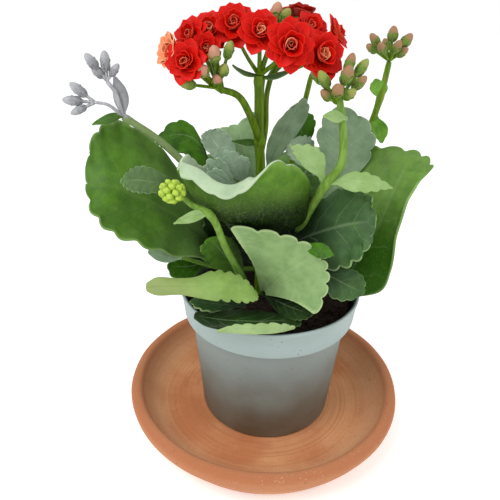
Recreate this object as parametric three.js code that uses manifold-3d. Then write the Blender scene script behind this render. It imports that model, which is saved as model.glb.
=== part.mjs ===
// Potted kalanchoe: a flowering plant in a round nursery pot, standing on a clay saucer.
// Millimetres, +Z up, the pot's axis is the Z axis and the saucer rests on Z = 0.
import * as THREE from "three";
import Module from "manifold-3d";

const GAP = 0.35;            // air kept between neighbouring pieces
const LEAF = 1.4;            // thickness of a leaf
const SEG = 48;              // sides of the round pieces
const FINE = 0.02;           // detail smaller than this is left out of a trimmed edge

// Saucer: thrown clay, rounded rim, flat floor
const SAUCER_R = 85, SAUCER_H = 25, SAUCER_FOOT_R = 74, SAUCER_FLOOR = 8, SAUCER_FLOOR_R = 60;
const SAUCER_X = -1.5;       // the pot stands a little off the saucer's centre

// Pot: thin moulded plastic with a deep rim band
const POT_BASE_Z = 8.4, POT_TOP_Z = 92.5, POT_TOP_R = 52.7, BAND_LOW_R = 50.4, BAND_LOW_Z = 75.5;
const BODY_TOP_R = 46.2, BODY_LOW_R = 40.4, WALL = 1.4, HOLES = 6, HOLE_R = 4, HOLE_RING_R = 30;

// Soil
const SOIL_TOP_Z = 85, SOIL_LOW_Z = 11.5;

const wasm = await Module();
wasm.setup();

// ---------------------------------------------------------------- solids
const V = (p) => new THREE.Vector3(...p);

function volumeOf(points, tris) {
  let sum = 0;
  for (const [a, b, c] of tris) sum += points[a].dot(points[b].clone().cross(points[c]));
  return sum / 6;
}

function solid(points, tris) {
  const faces = volumeOf(points, tris) < 0 ? tris.map(([a, b, c]) => [a, c, b]) : tris;
  return new wasm.Manifold(new wasm.Mesh({
    numProp: 3,
    vertProperties: new Float32Array(points.flatMap((p) => [p.x, p.y, p.z])),
    triVerts: new Uint32Array(faces.flat()),
  }));
}

// A closed skin over a row of loops that all have the same number of points.
function skin(loops) {
  const m = loops[0].length;
  const points = loops.flat();
  const tris = [];
  for (let i = 0; i + 1 < loops.length; i++) {
    for (let j = 0; j < m; j++) {
      const a = i * m + j, b = i * m + (j + 1) % m;
      tris.push([a, b, a + m], [b, b + m, a + m]);
    }
  }
  for (const end of [0, loops.length - 1]) {
    const middle = new THREE.Vector3();
    loops[end].forEach((p) => middle.addScaledVector(p, 1 / m));
    const c = points.push(middle) - 1;
    for (let j = 0; j < m; j++) {
      const a = end * m + j, b = end * m + (j + 1) % m;
      tris.push(end ? [a, b, c] : [b, a, c]);
    }
  }
  return solid(points, tris);
}

// Turned piece: the profile starts and ends on the axis, or closes on itself.
function turned(profile, sides = SEG) {
  const shape = new THREE.LatheGeometry(profile.map(([r, z]) => new THREE.Vector2(r, z)), sides);
  shape.rotateX(Math.PI / 2);
  const at = shape.getAttribute("position");
  const points = [], found = new Map(), where = [];
  for (let i = 0; i < at.count; i++) {
    const p = new THREE.Vector3().fromBufferAttribute(at, i);
    const key = [p.x, p.y, p.z].map((v) => Math.round(v * 1e3)).join();
    if (!found.has(key)) found.set(key, points.push(p) - 1);
    where.push(found.get(key));
  }
  const tris = [];
  for (let i = 0; i < shape.index.count; i += 3) {
    const [a, b, c] = [0, 1, 2].map((k) => where[shape.index.getX(i + k)]);
    if (a !== b && b !== c && c !== a) tris.push([a, b, c]);
  }
  return solid(points, tris);
}

// Round rod along a smooth path, radius given at each path point.
function rod(path, radii, grow = 0, sides = 6, steps = 0) {
  const curve = new THREE.CatmullRomCurve3(path.map(V), false, "centripetal");
  const n = steps || (path.length - 1) * 3;
  const frames = curve.computeFrenetFrames(n, false);
  const loops = [];
  for (let i = 0; i <= n; i++) {
    const along = i / n * (radii.length - 1);
    const k = Math.min(Math.floor(along), radii.length - 2);
    const r = radii[k] + (radii[k + 1] - radii[k]) * (along - k) + grow;
    const c = curve.getPointAt(i / n);
    if (i === 0) c.addScaledVector(frames.tangents[0], -grow);
    if (i === n) c.addScaledVector(frames.tangents[n], grow);
    loops.push(Array.from({ length: sides }, (_, j) => {
      const a = j / sides * 2 * Math.PI;
      return c.clone().addScaledVector(frames.normals[i], r * Math.cos(a))
        .addScaledVector(frames.binormals[i], r * Math.sin(a));
    }));
  }
  return skin(loops);
}

// Leaf through five points: base, middle of the rib, tip, left and right margin where
// it is widest (seen from the upper face, tip ahead). Rounded teeth along the margins.
function leaf([base, mid, tip, left, right], opt = {}, grow = 0) {
  const { lobes = 4, depth = 0.1, stalk = 0.1, peak = 0.55, full = 0.62, half = 2 } = opt;
  const [B, K, T, L, R] = [base, mid, tip, left, right].map(V);
  const dl = L.clone().sub(K), dr = R.clone().sub(K);
  const rib = (u) => new THREE.Vector3().addScaledVector(B, (1 - u) * (1 - 2 * u))
    .addScaledVector(K, 4 * u * (1 - u)).addScaledVector(T, u * (2 * u - 1));
  const power = Math.log(0.5) / Math.log(peak);
  const neck = Math.min(0.3, 1.6 / dl.length());
  const width = (u) => {
    const w = Math.max(0, (u - stalk) / (1 - stalk));
    const body = Math.pow(Math.sin(Math.PI * Math.pow(w, power)), full);
    const tooth = 1 - depth * (1 - Math.pow(Math.abs(Math.sin(Math.PI * lobes * w)), 0.6));
    return Math.max(neck, body * (w > 0 ? tooth : 1));
  };
  const at = (u, v) => {
    const w = width(u);
    return rib(u).addScaledVector(dr, w * (v + v * v) / 2).addScaledVector(dl, w * (v * v - v) / 2);
  };
  const rows = lobes * 2, last = 0.985;
  const station = (i) => stalk + (1 - stalk) * Math.min((i + 0.001) / (rows - 1), last);
  return blade(at, [0, ...Array.from({ length: rows }, (_, i) => station(i))], half, grow);
}

// Leaf drawn by its own left margin, rib and right margin, for blades that curl or fold.
// A broad one fans out to a toothed far edge instead of running to a tip.
function draped(rails, { teeth = 0, depth = 0.06, half = 3, rows = 8 } = {}, grow = 0) {
  const lines = rails.map((line) => new THREE.CatmullRomCurve3(line.map(V), false, "centripetal"));
  const at = (u, v) => {
    const notch = teeth ? 1 - Math.pow(Math.abs(Math.cos(teeth * Math.PI * v / 2)), 0.6) : 0;
    const reach = Math.min(Math.max(u * (1 - depth * u * notch), 0), 1);
    const [l, m, r] = lines.map((line) => line.getPoint(reach));
    return m.multiplyScalar(1 - v * v).addScaledVector(r, (v * v + v) / 2)
      .addScaledVector(l, (v * v - v) / 2);
  };
  return blade(at, Array.from({ length: rows + 1 }, (_, i) => i / rows), half, grow);
}

// Gives a surface at(u, v) its thickness: u from base to tip, v from -1 to 1 across.
function blade(at, stations, half, grow) {
  const last = stations.length - 1;
  return skin(stations.map((u, i) => {
    const top = [], low = [];
    for (let j = -half; j <= half; j++) {
      const v = j / half, p = at(u, v);
      const along = at(Math.min(u + 0.02, 1), v).sub(at(Math.max(u - 0.02, 0), v));
      const across = at(u, v + 0.05).sub(at(u, v - 0.05));
      const up = across.clone().cross(along).normalize();
      if (Math.abs(j) === half) p.addScaledVector(across.normalize(), grow * Math.sign(j));
      if (i === 0 || i === last) p.addScaledVector(along.normalize(), i ? grow : -grow);
      top.push(p.clone().addScaledVector(up, LEAF / 2 + grow));
      low.unshift(p.clone().addScaledVector(up, -LEAF / 2 - grow));
    }
    return [...top, ...low];
  }));
}

// Open double flower: green calyx below, a lobed outer whorl and a raised inner one.
const PETAL_R = 9.2;
function bloom(centre, facing, size, grow = 0) {
  const up = new THREE.Vector3(0, 0, 1);
  const turn = new THREE.Quaternion().setFromUnitVectors(up, V(facing).normalize());
  const rings = [[0.8, -7.5, 0], [2.2, -5, 0], [2.6, -2.6, 0], [PETAL_R, 0.2, 0.16],
    [PETAL_R - 0.4, 1.5, 0.16], [5.6, 2, 0.1], [4.6, 3.8, 0.2]];
  return skin(rings.map(([r, z, lobe], k) => Array.from({ length: 16 }, (_, j) => {
    const a = j / 8 * Math.PI;
    const reach = (r * (1 - lobe * (j % 2))) * size + grow;
    const lift = z * size + (k < 1 ? -grow : k > 3 ? grow : 0);
    return new THREE.Vector3(reach * Math.cos(a), reach * Math.sin(a), lift)
      .applyQuaternion(turn).add(V(centre));
  })));
}

// Closed bud: plump below, pointed above.
function bud(centre, facing, long, wide, grow = 0) {
  const d = V(facing).normalize().multiplyScalar(long / 2), c = V(centre);
  const ends = [c.clone().sub(d).toArray(), c.toArray(), c.clone().add(d).toArray()];
  return rod(ends, [wide * 0.3, wide * 0.5, wide * 0.46, wide * 0.14], grow, 5, 3);
}

const union = (list) => list.reduce((a, b) => a.add(b));

// ---------------------------------------------------------------- where everything grows
// Leaves, five points each: base, middle, tip, left margin, right margin.
const LEAVES = {
  leaf_west: [[-18, -8, 110], [-59, -24, 149], [-93, -26, 162], [-60, -48, 136], [-68, 0, 181]],
  leaf_east_scalloped: [[1, -12, 119], [27, -30, 142], [47, -40, 151], [29, -22, 161], [28, -42, 124]],
  leaf_northeast_round: [[26, -4, 147], [35, 2, 171], [35, 14, 193], [20, 0, 175], [52, 2, 172]],
  leaf_west_toothed: [[-45, -24, 158], [-60, -36, 167], [-72, -42, 169], [-61, -40, 162], [-60, -32, 173]],
  leaf_west_arched: [[-35, 4, 151], [-43, 8, 175], [-63, 4, 175], [-48, -2, 169], [-46, 14, 182]],
  leaf_north_tall: [[-5, 2, 158], [3, 8, 180], [14, 14, 197], [-4, 6, 178], [13, 10, 181]],
  leaf_north_dark: [[14, 8, 166], [14, 16, 179], [15, 22, 189], [8, 14, 179], [22, 18, 180]],
  leaf_north_toothed: [[22, 0, 160], [15, 4, 170], [8, 8, 176], [8, 2, 167], [21, 8, 176]],
  leaf_north_pale: [[-10, 12, 147], [-17, 18, 167], [-21, 24, 180], [-32, 16, 169], [-6, 24, 181]],
  leaf_northwest: [[-19, 0, 157], [-30, 8, 170], [-37, 12, 179], [-37, 6, 170], [-23, 12, 175]],
  leaf_rosette_upper: [[-16, -10, 157], [-23, -10, 168], [-30, -8, 175], [-29, -14, 165], [-17, -6, 170]],
  leaf_rosette_lower: [[-20, -18, 157], [-28, -20, 165], [-34, -20, 172], [-34, -24, 165], [-24, -16, 169]],
  leaf_south_dark: [[-5, -22, 99], [7, -36, 100], [20, -46, 101], [11, -32, 103], [5, -42, 97]],
  leaf_southwest_low: [[-14, -24, 91], [-29, -38, 101], [-42, -44, 106], [-29, -44, 100], [-30, -32, 102]],
  leaf_southwest_inner: [[-15, -14, 103], [-26, -22, 122], [-34, -24, 132], [-35, -28, 119], [-19, -16, 125]],
  leaf_west_low: [[-34, -14, 113], [-46, -20, 113], [-56, -26, 116], [-46, -26, 107], [-47, -14, 119]],
  leaf_south_pointed: [[-5, -12, 116], [-13, -22, 136], [-19, -28, 149], [-16, -26, 134], [-10, -18, 136]],
  leaf_southeast_small: [[10, -40, 138], [19, -49, 140], [26, -54, 140], [20, -47, 143], [18, -51, 137]],
  leaf_southeast_low: [[20, -28, 120], [33, -36, 116], [46, -40, 111], [41, -30, 120], [28, -42, 110]],
  leaf_core_west: [[-5, -2, 99], [-21, -8, 127], [-33, -14, 147], [-33, -14, 123], [-9, -4, 141]],
  leaf_core_east: [[-2, -2, 102], [11, -6, 127], [24, -10, 150], [-1, -2, 140], [23, -12, 123]],
  leaf_back_east: [[12, 6, 112], [44, 30, 136], [76, 46, 130], [30, 52, 128], [60, 10, 128]],
  leaf_back_northeast: [[6, 10, 128], [26, 44, 156], [42, 74, 148], [-2, 56, 150], [52, 34, 148]],
  leaf_back_north: [[-2, 12, 112], [2, 50, 132], [4, 84, 120], [-27, 50, 124], [31, 50, 124]],
  leaf_back_northwest: [[-8, 10, 130], [-30, 40, 154], [-48, 68, 144], [-54, 24, 146], [-6, 56, 146]],
  leaf_back_west: [[-10, 4, 108], [-46, 26, 126], [-76, 40, 116], [-56, 0, 118], [-36, 52, 118]],
  leaf_back_low: [[2, 14, 98], [22, 42, 106], [34, 66, 98], [2, 54, 102], [44, 32, 102]],
};
const LEAF_FORM = {
  leaf_west: { lobes: 5, depth: 0.06, full: 0.5 },
  leaf_east_scalloped: { lobes: 4, depth: 0.1, full: 0.5 },
  leaf_northeast_round: { lobes: 3, depth: 0.1, full: 0.5 },
};

// Blades that fold or curl: left margin, rib, right margin.
const DRAPED = {
  leaf_bowl: { rails: [
    [[20, -12, 147], [10, -40, 171], [1, -54, 184], [-8, -58, 180], [-22, -56, 168], [-35, -50, 166],
      [-46, -45, 171]],
    [[21, -10, 143], [8, -26, 138], [-12, -38, 142], [-31, -46, 154], [-40, -44, 163], [-46, -42, 174]],
    [[20, -8, 146], [-3, 0, 155], [-19, -8, 159], [-32, -18, 164], [-39, -28, 175], [-43, -34, 180],
      [-46, -40, 176]],
  ], rows: 12 },
  leaf_south_fan: { rails: [
    [[-6, -24, 101], [-10, -34, 122], [-17, -44, 139], [-23, -50, 152]],
    [[-4, -25, 102], [7, -44, 126], [21, -48, 138]],
    [[-3, -26, 100], [6, -42, 108], [13, -54, 112], [20, -60, 110]],
  ], teeth: 5 },
  leaf_east: { rails: [
    [[32, -2, 92], [36, 0, 131], [40, 4, 158], [48, 8, 175]],
    [[38, -8, 90], [54, -18, 137], [62, -14, 160], [72, -4, 176]],
    [[42, -12, 90], [55, -26, 107], [60, -30, 138], [66, -26, 159], [79, -14, 170]],
  ], teeth: 3 },
  leaf_southwest_pale: { rails: [
    [[-61, -53, 121], [-56, -52, 124], [-47, -50, 123], [-39, -48, 123], [-29, -44, 125], [-19, -43, 123],
      [-12, -43, 117], [-9, -43, 111]],
    [[-62, -53, 119.5], [-54, -54, 121], [-43, -54, 121], [-33, -53, 121], [-23, -51, 120], [-14, -48, 115],
      [-8, -45, 110]],
    [[-61, -53, 118], [-57, -53, 116], [-45, -53, 116], [-35, -53, 114], [-26, -52, 112], [-17, -50, 110],
      [-11, -48, 109.5], [-8, -46, 109.5]],
  ], rows: 12, half: 2 },
  leaf_south_rim: { rails: [
    [[-40, -41, 97], [-32, -39, 98], [-20, -39, 98.5], [-8, -39, 98.5], [4, -41, 97.5], [14, -44, 96]],
    [[-40.5, -43, 96.5], [-32, -47, 98], [-22, -50, 99], [-9, -50, 99], [4, -48, 98], [15, -45, 95.5]],
    [[-40, -45, 96], [-34, -51, 96], [-24, -54, 96], [-9, -54.5, 96], [5, -52, 95.5], [14.5, -47, 95]],
  ], rows: 10, half: 2 },
};

// Five-point bracts that grow on the stalks.
const BRACTS = {
  main: [[[-9, -4, 178], [-16, -6, 178.7], [-23, -8, 179.5], [-15, -7, 177], [-15, -5, 180]],
    [[-10, -4, 211], [-17, -6, 212], [-23, -8, 216], [-17, -8, 211.4], [-17, -4, 212.8]],
    [[-10, -4, 210], [-2, -7, 211], [5, -9, 214.5], [-2, -5, 211.8], [-2, -9, 210.4]]],
  east: [[[23, -30, 166], [13, -36, 180], [4, -40, 187], [8, -38, 180], [18, -34, 183]],
    [[24, -31, 167], [39, -38, 170], [52, -42, 169], [39, -34, 174], [38, -42, 166]],
    [[30, -30, 197], [24, -34, 199], [18, -38, 200], [24, -37, 197], [24, -31, 201]]],
  far: [[[60, 38, 193], [57, 36, 200], [55, 34, 205], [52, 34, 200], [63, 38, 201]],
    [[58, 37, 184], [61, 35, 176], [63, 33, 169], [66, 34, 177], [56, 34, 176]]],
  west: [[[-75, -15, 192], [-81, -20, 192], [-88, -24, 190], [-81, -22, 190], [-81, -18, 194]],
    [[-75, -15, 192], [-76, -12, 202], [-79, -10, 210], [-80, -12, 201], [-73, -10, 202]]],
  low: [[[-31, -52, 158], [-39, -56, 158.5], [-46, -60, 156.5], [-39, -58, 156], [-38, -54, 160.5]]],
};

// Open flowers: centre, the way each one faces, size.
const FLOWERS = {
  flower_front: [[3, -24, 227], [0.05, -0.95, 0.25], 1.05],
  flower_west: [[-48, -18, 222], [-0.75, -0.55, 0.35], 0.9],
  flower_west_low: [[-42, -27, 219], [-0.2, -0.85, 0.3], 0.9],
  flower_west_high: [[-41, -12, 228], [-0.5, -0.7, 0.5], 0.85],
  flower_left_back: [[-33, -9, 231], [-0.15, -0.8, 0.55], 0.88],
  flower_left_front: [[-34, -18, 224], [-0.1, -0.8, 0.3], 0.66],
  flower_mid_back: [[-22, -10, 233], [-0.05, -0.8, 0.6], 1.0],
  flower_mid_front: [[-10, -18, 231], [0.05, -0.85, 0.5], 0.95],
  flower_right_front: [[17, -18, 222], [0.35, -0.8, 0.35], 1.08],
  flower_top: [[8, 12, 236], [0.1, 0.5, 0.85], 0.95],
  flower_right_back: [[13, -3, 232], [0.2, -0.7, 0.65], 0.85],
  flower_right: [[24, 0, 229], [0.8, -0.3, 0.5], 0.85],
};

// Buds: centre, length, width; all grow away from the foot of their cluster.
const BUDS = {
  buds_left: { foot: [-29, -18, 207], list: [[-30, -27, 223, 8, 6], [-24, -20, 224, 8, 5],
    [-35, -29, 216, 7, 6], [-26, -25, 216, 7, 5], [-29, -25, 212, 5, 5], [-42, -28, 210, 8, 5]] },
  buds_top: { foot: [-5, -3, 229], list: [[-3, -4, 239, 9, 6], [1, -6, 238, 7, 5]] },
  buds_right: { foot: [25, -26, 203], list: [[30, -22, 220, 9, 5], [36, -20, 218, 9, 5],
    [28, -30, 216, 9, 6], [18, -30, 214, 9, 5], [24, -34, 210, 8, 6], [16, -22, 214, 8, 5],
    [35, -24, 212, 8, 5], [30, -30, 208, 7, 5], [20, -28, 207, 7, 5]] },
  buds_far: { foot: [62, 38, 214], list: [[52, 36, 225, 8, 5], [62, 38, 228, 8, 6],
    [70, 38, 225, 8, 6], [56, 33, 221, 8, 5], [64, 33, 222, 8, 5], [68, 36, 219, 7, 5],
    [52, 41, 220, 7, 5], [60, 43, 222, 7, 5]] },
  buds_west_high: { foot: [-82, -12, 208], list: [[-88, -14, 217, 8, 5], [-82, -12, 217, 9, 5],
    [-78, -12, 213, 7, 4], [-86, -12, 212, 7, 5]] },
  buds_west_low: { foot: [-87, -18, 199], list: [[-97, -20, 200, 9, 5], [-94, -19, 205, 9, 5],
    [-94, -22, 196, 8, 4]] },
  buds_head: { foot: [-43, -51, 165.7], list: [[-46.4, -53, 168.5, 10, 10], [-48.5, -53, 170.5, 7, 7],
    [-47.5, -54, 165.5, 7, 7]] },
};

// ---------------------------------------------------------------- pieces
// Every piece is described once and made twice: true to size, and grown by the gap, so
// that pieces further down the list can be trimmed clear of it.
const pieces = [];
const piece = (name, make) => pieces.push({ name, make });

// The turned pieces: saucer, pot with its drainage holes, and the soil that fills it.
piece("saucer", (g) => turned([[0, -g], [SAUCER_FOOT_R - 2, -g], [SAUCER_FOOT_R + g, 1.5],
  [80 + g, 10], [83.5 + g, 16], [SAUCER_R + g, 20], [SAUCER_R - 0.8 + g, 23.4],
  [SAUCER_R - 3.6, SAUCER_H + g], [SAUCER_R - 6.6 - g, 24], [SAUCER_R - 8.4 - g, 21],
  [SAUCER_R - 12 - g, 15 + g], [66 - g, 9.8 + g], [SAUCER_FLOOR_R, SAUCER_FLOOR + g],
  [0, SAUCER_FLOOR + g]]).translate([SAUCER_X, 0, 0]));

piece("pot", (g) => {
  const outside = [[0, POT_BASE_Z - g], [BODY_LOW_R - 1, POT_BASE_Z - g], [BODY_LOW_R + g, POT_BASE_Z + 1],
    [BODY_TOP_R + g, BAND_LOW_Z - g], [BAND_LOW_R + g, BAND_LOW_Z - g],
    [POT_TOP_R - 0.6 + g, POT_TOP_Z - 2.5], [POT_TOP_R + g, POT_TOP_Z - 1.5], [POT_TOP_R + g, POT_TOP_Z + g]];
  const inside = [[POT_TOP_R - WALL - 0.4 - g, POT_TOP_Z + g], [BAND_LOW_R - WALL - g, BAND_LOW_Z + 1],
    [BODY_TOP_R - WALL - g, BAND_LOW_Z - 1], [BODY_LOW_R - WALL - g, POT_BASE_Z + WALL + g],
    [0, POT_BASE_Z + WALL + g]];
  let shell = turned([...outside, ...inside]);
  for (let k = 0; k < HOLES && g === 0; k++) {
    const a = (k + 0.5) / HOLES * 2 * Math.PI, x = HOLE_RING_R * Math.cos(a), y = HOLE_RING_R * Math.sin(a);
    const drill = [[x, y, POT_BASE_Z - WALL], [x, y, POT_BASE_Z + 2 * WALL]];
    shell = shell.subtract(rod(drill, [HOLE_R, HOLE_R], 0, 16, 1));
  }
  return shell;
});

piece("soil", (g) => turned([[0, SOIL_LOW_Z], [38, SOIL_LOW_Z], [43.6, BAND_LOW_Z - 2],
  [48, BAND_LOW_Z + 3], [49, SOIL_TOP_Z - 0.6], [44, SOIL_TOP_Z + 0.6 + g], [26, SOIL_TOP_Z + g],
  [0, SOIL_TOP_Z + 0.8 + g]], 32));

// Flowers come before the stalks, so each flower stalk is trimmed to end just under its calyx.
for (const [name, [centre, facing, size]] of Object.entries(FLOWERS)) {
  piece(name, (g) => bloom(centre, facing, size, g));
}

for (const [name, { foot, list }] of Object.entries(BUDS)) {
  piece(name, (g) => union(list.flatMap(([x, y, z, long, wide]) => {
    const facing = [x - foot[0], y - foot[1], z - foot[2]];
    return [bud([x, y, z], facing, long, wide, g), rod([foot, [x, y, z]], [0.9, 0.8], g, 5, 1)];
  })));
}

// A flower stalk runs from its node to a point just inside the calyx of its flower.
const under = ([c, f, size]) => {
  const d = V(f).normalize().multiplyScalar(-7 * size);
  return V(c).add(d).toArray();
};
const flowerStalk = (node, name, g) => {
  const end = under(FLOWERS[name]);
  const mid = [0, 1, 2].map((k) => (node[k] + end[k]) / 2 + (k === 2 ? -1 : 0));
  return rod([node, mid, end], [1.3, 1, 0.8], g, 5, 2);
};

piece("stalk_main", (g) => {
  const top = [-10, -4, 211], west = [-27, -17, 205];
  return union([
    rod([[-6, 0, SOIL_TOP_Z + 1.6], [-8, -4, 166], [-9, -4, 178], top], [3.2, 2.7, 2.7, 2.5], g, 8, 6),
    rod([[-8, -3, 172], [-6, 1, 184], [-6, 2, 200], [-4, 0, 211]], [1.8, 1.5, 1.4], g, 6, 5),
    rod([[-8, -4, 176], [-14, -10, 193], [-20, -14, 203], [-29, -17, 206.5]], [1.9, 1.8, 1.5], g, 6, 7),
    rod([top, [-7, -5, 220], [-5, -3, 228]], [1.6, 1.2, 0.9], g, 5, 3),
    ...["flower_west", "flower_west_low", "flower_west_high", "flower_left_back", "flower_left_front"]
      .map((name) => flowerStalk(west, name, g)),
    ...["flower_mid_back", "flower_mid_front", "flower_front"].map((name) => flowerStalk(top, name, g)),
    ...["flower_right_front", "flower_top", "flower_right_back"]
      .map((name) => flowerStalk([-5, 0, 210], name, g)),
    ...BRACTS.main.map((points) => leaf(points, { lobes: 2, depth: 0, stalk: 0.05, half: 1 }, g)),
  ]);
});
piece("stalk_right", (g) => union([
  rod([[8, -12, 109], [12, -14, 127], [16, -22, 146], [23, -30, 165], [29, -32, 176], [30, -31, 190],
    [25, -26, 202.5]], [2.9, 2.7, 2.3, 2], g, 8, 11),
  ...BRACTS.east.map((points) => leaf(points, { lobes: 3, depth: 0.12, stalk: 0.1, half: 1 }, g)),
]));
piece("stalk_far_right", (g) => union([
  rod([[16, 6, 108], [34, 22, 128], [48, 33, 156], [56, 37, 178], [60, 38, 196], [62, 38, 213.5]],
    [2.4, 2.2, 1.9, 1.6], g),
  ...BRACTS.far.map((points) => leaf(points, { lobes: 2, depth: 0.04, half: 1 }, g)),
  bud([54, 35, 182], [-0.8, 0, 0.5], 8, 4, g), bud([62, 36, 186], [0.6, 0, 0.6], 8, 5, g),
]));
piece("stalk_back", (g) => union([
  rod([[2, 6, 110], [8, 18, 150], [13, 22, 180], [17, 14, 209]], [2.2, 1.8, 1.6, 1.4], g),
  flowerStalk([17, 14, 208], "flower_right", g),
]));
piece("stalk_west", (g) => union([
  rod([[-12, 4, 106], [-28, 0, 136], [-42, -8, 161], [-59, -12, 180], [-75, -15, 192]],
    [2.4, 2.2, 1.9, 1.7], g, 7),
  rod([[-75, -15, 192], [-78, -14, 203], [-82, -12, 207.5]], [1.2, 1, 1], g),
  rod([[-75, -15, 192], [-81, -18, 198], [-86.5, -18, 199]], [1.1, 0.9, 0.9], g),
  ...BRACTS.west.map((points) => leaf(points, { lobes: 2, depth: 0, stalk: 0.05, half: 1 }, g)),
]));
piece("stalk_low", (g) => union([
  rod([[-12, -18, 98], [-17.5, -34, 118], [-24, -42, 136], [-31, -52, 158], [-39, -51, 162],
    [-42.5, -51, 165.2]], [1.9, 1.8, 1.6, 1.2], g),
  ...BRACTS.low.map((points) => leaf(points, { lobes: 2, depth: 0.05, half: 1 }, g)),
]));

for (const [name, { rails, ...form }] of Object.entries(DRAPED)) {
  piece(name, (g) => draped(rails, form, g));
}
for (const [name, points] of Object.entries(LEAVES)) {
  piece(name, (g) => leaf(points, LEAF_FORM[name], g));
}

// ---------------------------------------------------------------- trim, colour, name
const PAINT = [["saucer", "#c77a4e"], ["pot", "#a9b8b4"], ["soil", "#1d1713"], ["flower", "#e2331c"],
  ["buds_west", "#b9c2b8"], ["buds_head", "#a8bd3c"], ["buds", "#8f8b4c"], ["stalk", "#6f8f37"],
  ["leaf_south_fan", "#93b173"], ["leaf_southwest_pale", "#8fb163"], ["leaf", "#41692c"]];

function boxesMeet(a, b) {
  return [0, 1, 2].every((k) => a.min[k] < b.max[k] && b.min[k] < a.max[k]);
}

const model = new THREE.Group();
model.name = "potted_kalanchoe";
const kept = [];
for (const { name, make } of pieces) {
  let body = make(0);
  for (const other of kept) {
    if (boxesMeet(body.boundingBox(), other.boundingBox())) body = body.subtract(other);
  }
  body = body.decompose().reduce((a, b) => (a.volume() > b.volume() ? a : b)).simplify(FINE);
  kept.push(make(GAP));
  const mesh = body.getMesh();
  const shape = new THREE.BufferGeometry();
  shape.setAttribute("position", new THREE.BufferAttribute(new Float32Array(mesh.vertProperties), 3));
  shape.setIndex([...mesh.triVerts]);
  shape.computeVertexNormals();
  const colour = PAINT.find(([start]) => name.startsWith(start))[1];
  const node = new THREE.Mesh(shape, new THREE.MeshStandardMaterial({ color: colour, roughness: 0.7 }));
  node.name = name;
  model.add(node);
}

export default model;
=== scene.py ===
import math
import random

import bpy
from mathutils import Matrix, Vector, noise


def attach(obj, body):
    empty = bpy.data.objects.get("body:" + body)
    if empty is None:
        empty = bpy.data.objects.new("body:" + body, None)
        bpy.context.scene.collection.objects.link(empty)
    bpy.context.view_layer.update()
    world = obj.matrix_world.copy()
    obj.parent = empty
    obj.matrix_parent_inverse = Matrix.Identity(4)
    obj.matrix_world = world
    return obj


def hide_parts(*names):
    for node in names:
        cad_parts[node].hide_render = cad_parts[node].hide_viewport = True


# ---------------------------------------------------------------- frame
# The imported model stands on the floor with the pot's axis on Z. Sizes below are in
# millimetres, and MM turns them into metres.
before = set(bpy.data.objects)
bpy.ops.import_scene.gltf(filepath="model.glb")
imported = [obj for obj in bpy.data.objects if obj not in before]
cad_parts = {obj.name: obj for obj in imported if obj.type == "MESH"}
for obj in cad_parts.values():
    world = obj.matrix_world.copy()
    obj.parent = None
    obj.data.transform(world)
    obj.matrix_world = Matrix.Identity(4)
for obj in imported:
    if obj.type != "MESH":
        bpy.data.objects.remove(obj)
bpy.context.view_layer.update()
MM = 0.001
random.seed(7)

# ---------------------------------------------------------------- camera
# A hand-held view from a little above the pot's rim, leaning over slightly.
PITCH, ROLL = math.radians(27.16), math.radians(1.46)
AIM, DISTANCE = Vector((-12.36, 0, 113.8)) * MM, 300.5 * MM
FILM_WIDTH, LENS, NEAREST = 36, 37.57, 0.01
back = Vector((0, -math.cos(PITCH), math.sin(PITCH)))
level = Vector((1, 0, 0))
upright = Vector((0, math.sin(PITCH), math.cos(PITCH)))
sideways = level * math.cos(ROLL) + upright * math.sin(ROLL)
above = upright * math.cos(ROLL) - level * math.sin(ROLL)
bpy.ops.object.camera_add()
camera = bpy.context.object
camera.matrix_world = Matrix.Translation(AIM + back * DISTANCE) @ Matrix(
    (sideways, above, back)).transposed().to_4x4()
camera.data.sensor_width, camera.data.lens = FILM_WIDTH, LENS
camera.data.clip_start = NEAREST
bpy.context.scene.camera = camera
bpy.context.scene.view_settings.view_transform = "Standard"

# ---------------------------------------------------------------- floor and light
# A white sweep lit evenly all round, with one large soft lamp high on the left and a
# weaker one on the right, as on a product table.
SWEEP_SIZE, SWEEP_DROP = 60, 0.0004
WHITE = (1, 1, 1, 1)
SWEEP_LOOK = {"Base Color": (0.93, 0.93, 0.93, 1), "Roughness": 0.9, "Specular IOR Level": 0.1,
              "Emission Color": WHITE, "Emission Strength": 0.34}
ROOM_LOOK = {"Color": WHITE, "Strength": 0.72}
PLANT_MIDDLE = Vector((0, 0, 0.12))


def clear_choice():
    bpy.ops.object.select_all(action="DESELECT")


def set_sockets(node, look):
    for socket, value in look.items():
        node.inputs[socket].default_value = value


clear_choice()
bpy.ops.mesh.primitive_plane_add(size=SWEEP_SIZE, location=(0, 0, -SWEEP_DROP))
floor = bpy.context.object
floor.name = "floor"
white = bpy.data.materials.new("white_sweep")
white.use_nodes = True
set_sockets(white.node_tree.nodes["Principled BSDF"], SWEEP_LOOK)
floor.data.materials.append(white)

world = bpy.data.worlds.new("soft_room")
world.use_nodes = True
set_sockets(world.node_tree.nodes["Background"], ROOM_LOOK)
bpy.context.scene.world = world


def lamp(name, place, size, power):
    """A square soft box that looks at the middle of the plant."""
    bpy.ops.object.light_add(type="AREA", location=place)
    light = bpy.context.object
    light.name = name
    light.data.size = size
    light.data.energy = power
    light.rotation_mode = "QUATERNION"
    light.rotation_quaternion = (PLANT_MIDDLE - Vector(place)).to_track_quat("-Z", "Y")


lamp("lamp_left", (-0.7, -0.5, 1.1), 0.7, 9)
lamp("lamp_right", (0.9, -0.3, 0.8), 0.6, 3)

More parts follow.
